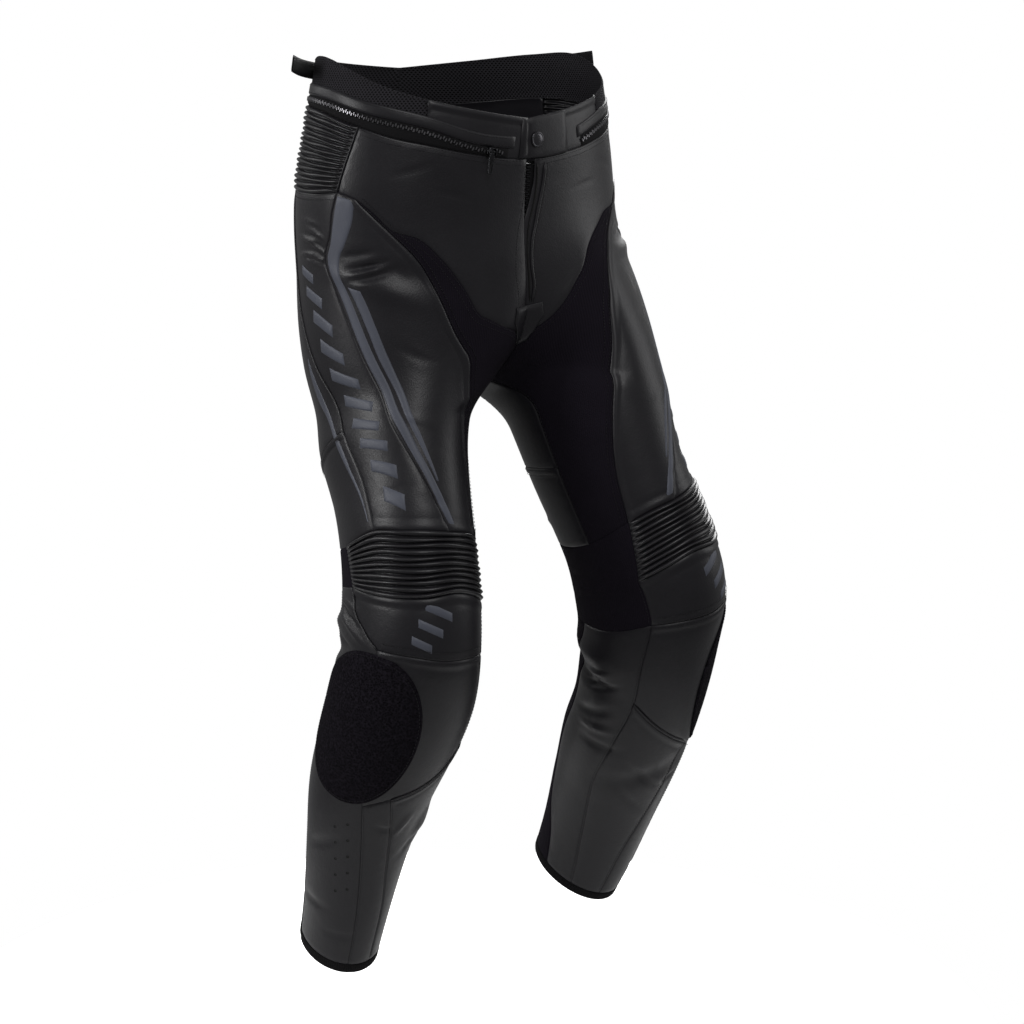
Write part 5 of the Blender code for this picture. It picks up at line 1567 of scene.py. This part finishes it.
def zip_slider():
    """The connection zip's slider, and its pull tab, which swings."""
    down = along(FLAP_TOP, 1, SLIDER_ANGLE) + TAPE_TOP + TAPE_WIDTH / 2
    base = frame_at(RIGHT, SLIDER_ANGLE, float(down), SLIDER_LIFT)
    point, across, below, out = base
    body = [slab(base, rounded(*SLIDER_SHAPE), 0.0, 0.0026, 0.0004)]
    for sign in (-1, 1):
        cheek = (point + across * sign * CHEEK_ACROSS, across, below, out)
        body.append(slab(cheek, rounded(*CHEEK_SHAPE), 0.0022, 0.0056, 0.0003))
    add_solid("zip_slider_body", body, LOOK["metal"], ["zip_slider"])
    pivot = point + out * PIVOT_OUT
    turns = np.linspace(0, 2 * pi, 17)[:-1]
    rings = []
    for x, size in ((-0.0028, 0.8), (-0.0024, 1.0), (0.0024, 1.0), (0.0028, 0.8)):
        rings.append([pivot + across * x + (below * cos(t) + out * sin(t)) * KNUCKLE_RADIUS * size
                      for t in turns])
    knuckle = ring_solid(rings)
    shape = rounded(TAB_WIDTH, TAB_LENGTH - 0.0010, 0.0022)
    half_wide, half_long = TAB_WIDTH / 2, (TAB_LENGTH - 0.0010) / 2
    hole = [(x * 0.0017 / half_wide, y * 0.0046 / half_long) for x, y in shape]
    middle = (TAB_LENGTH + 0.0010) / 2
    rings = []
    for lift, inset in ((-0.0006, 0.0002), (-0.0004, 0.0), (0.0004, 0.0), (0.0006, 0.0002)):
        narrow, short = 1 - inset / half_wide, 1 - inset / half_long
        rings.append([pivot + across * x * narrow + below * (y * short + middle) + out * lift
                      for x, y in shape])
    for lift in (0.0006, -0.0006):
        rings.append([pivot + across * x + below * (y + middle + 0.0052) + out * lift for x, y in hole])
    count = len(shape)
    verts = [p for ring in rings for p in ring]
    order = [0, 1, 2, 3, 4, 5, 0]
    faces = []
    for low, high in zip(order, order[1:]):
        for k in range(count):
            a, b = low * count + k, low * count + (k + 1) % count
            faces.append((a, b, high * count + (k + 1) % count, high * count + k))
    plate = outward(verts, faces)
    add_solid("pull_tab_plate", [knuckle, plate], LOOK["metal"], ["zip_pull_tab"], "pull_tab")


SNAP_PLACE = (-87.6, 0.016)  # angle, down
# radius, rise: the cap's profile, from its rim to its middle
SNAP_ROWS = ((0.0070, 0.0), (0.0078, 0.0006), (0.0079, 0.0013), (0.0074, 0.0018), (0.0066, 0.0019),
             (0.0064, 0.0017), (0.0058, 0.0019), (0.0048, 0.0024), (0.0034, 0.0027), (0.0016, 0.0029))


def snap_button():
    """The press stud's cap on the front tab."""
    point, across, below, out = frame_at(LEFT, *SNAP_PLACE, GAP + WALL + 0.0004)
    rings = []
    for radius, rise in SNAP_ROWS:
        rings.append([point + (across * cos(t) + below * sin(t)) * radius + out * rise
                      for t in np.linspace(0, 2 * pi, 37)[:-1]])
    add_solid("snap_cap", [ring_solid(rings)], LOOK["bright"], ["snap_button"])


# angle, middle, lift: the adjuster strap, from its free end to its sewn one
STRAP = [(6, -0.0580, 0.0320), (11, -0.0570, 0.0225), (18, -0.0560, 0.0135), (26, -0.0550, 0.0065),
         (36, -0.0535, 0.0020), (48, -0.0510, 0.0004), (60, -0.0485, 0.0000), (72, -0.0465, 0.0000)]
STRAP_WIDTH = 0.018
STRAP_WALL = 0.0018
STRAP_LIFT = 0.0008


def straps():
    """The two adjuster straps, whose free ends stand out behind."""
    for side, word in SIDES:
        angles = np.linspace(72, 6, 90)
        middle, lift = along(STRAP, 1, angles), along(STRAP, 2, angles)
        slope = np.linspace(-1, 1, 9)
        rings = []
        travel = 0.0
        uvs = []
        last = None
        for angle, centre, high in zip(angles, middle, lift):
            down = centre + slope * STRAP_WIDTH / 2
            points, normals = skin(side, np.full(len(slope), angle), down)
            round_off = 0.0005 * np.abs(slope) ** 6
            outer = points + normals * (high + STRAP_LIFT + STRAP_WALL - round_off)[:, None]
            inner = points + normals * (high + STRAP_LIFT + round_off)[:, None]
            travel += 0.0 if last is None else float(np.linalg.norm(outer[4] - last))
            last = outer[4]
            rings.append([*outer, *inner[::-1]])
            uvs += [(travel, s * STRAP_WIDTH / 2) for s in (*slope, *slope[::-1])]
        verts, faces = ring_solid(rings)
        piece = add_mesh(f"adjuster_strap_{word}_webbing", verts, faces, LOOK["webbing"], np.array(uvs))
        declare(piece, [f"adjuster_strap_{word}"])


FLOOR_DROP = 0.10
CAMERA_TURN = -37.4
CAMERA_FAR = 2.73
CAMERA_UP = 0.118
CAMERA_DOWN = 11.149
LENS = 90.81
SHIFT = 0.0514


def camera():
    """The camera that the photo was taken with."""
    turn = radians(CAMERA_TURN)
    back = Vector((sin(turn), -cos(turn), 0.0))
    data = bpy.data.cameras.new("photo_view")
    data.lens = LENS
    data.sensor_width = 36.0
    data.shift_x = SHIFT
    made = bpy.data.objects.new("photo_view", data)
    made.location = back * CAMERA_FAR + Vector((0.0, 0.0, CAMERA_UP))
    made.rotation_euler = (radians(90 - CAMERA_DOWN), 0.0, turn)
    bpy.context.scene.collection.objects.link(made)
    bpy.context.scene.camera = made


LAMP_TALL = 1.8  # a lamp's height over its width
# name, place, aimed at, size, watts
LAMPS = [
    ("key_above_front", (-0.9, -2.4, 2.2), (0.0, 0.0, -0.2), 1.2, 84),
    ("strip_right", (-2.3, 0.5, 0.5), (0.0, 0.0, -0.4), 0.6, 46),
    ("strip_left", (2.1, -1.0, 0.6), (0.0, 0.0, -0.4), 1.2, 24),
    ("rim_back_right", (-1.2, 2.0, 0.8), (0.0, 0.0, -0.4), 0.7, 14),
    ("rim_back_left", (1.9, 1.2, 0.7), (0.0, 0.0, -0.4), 0.7, 24),
]
ROOM_LIGHT = 0.30  # of the white that shows behind


def lights():
    """The studio's lamps."""
    for name, place, target, size, watts in LAMPS:
        data = bpy.data.lights.new(name, "AREA")
        data.shape = "RECTANGLE"
        data.size = size
        data.size_y = size * LAMP_TALL
        data.energy = watts
        made = bpy.data.objects.new(name, data)
        made.location = place
        made.rotation_euler = (Vector(target) - Vector(place)).to_track_quat("-Z", "Y").to_euler()
        bpy.context.scene.collection.objects.link(made)
    room()


def room():
    """A room that looks white behind the garment and lights it softly."""
    world = bpy.data.worlds.new("soft_white_room")
    world.use_nodes = True
    tree = world.node_tree
    tree.nodes["Background"].inputs["Color"].default_value = (1.0, 1.0, 1.0, 1)
    seen = Field(tree, tree.nodes.new("ShaderNodeLightPath").outputs["Is Camera Ray"])
    join(tree, seen * (1.0 - ROOM_LIGHT) + ROOM_LIGHT, tree.nodes["Background"].inputs["Strength"])
    bpy.context.scene.world = world
    bpy.context.scene.view_settings.view_transform = "Standard"


FLOOR_RADIUS = 0.6
FLOOR_GLOW = 1.0


def floor():
    """A round pale floor under the garment, lit from within so that its edge melts into the room."""
    low = cad_box[0][2] - FLOOR_DROP
    turns = [2 * pi * k / 96 for k in range(96)]
    verts = [(FLOOR_RADIUS * cos(turn), FLOOR_RADIUS * sin(turn), low) for turn in turns]
    made = Finish("floor_paint", (0.80, 0.80, 0.80), 0.8)
    made.feed("Roughness", made.noise(3.0) * 0.1 + 0.75)
    seen = made.node("LightPath")
    made.feed("Emission Color", made.mixed(seen, (0.0, 0.0, 0.0), (1.0, 1.0, 1.0)))
    made.shader.inputs["Emission Strength"].default_value = FLOOR_GLOW
    piece = add_mesh("floor", verts, [tuple(range(96))], made.material, smooth=False)


waistband()
hips()
thighs()
knees()
shins()
piping()
fly_edges()
bars()
perforations()
zips()
zip_slider()
snap_button()
straps()
sewing()
floor()
lights()
camera()
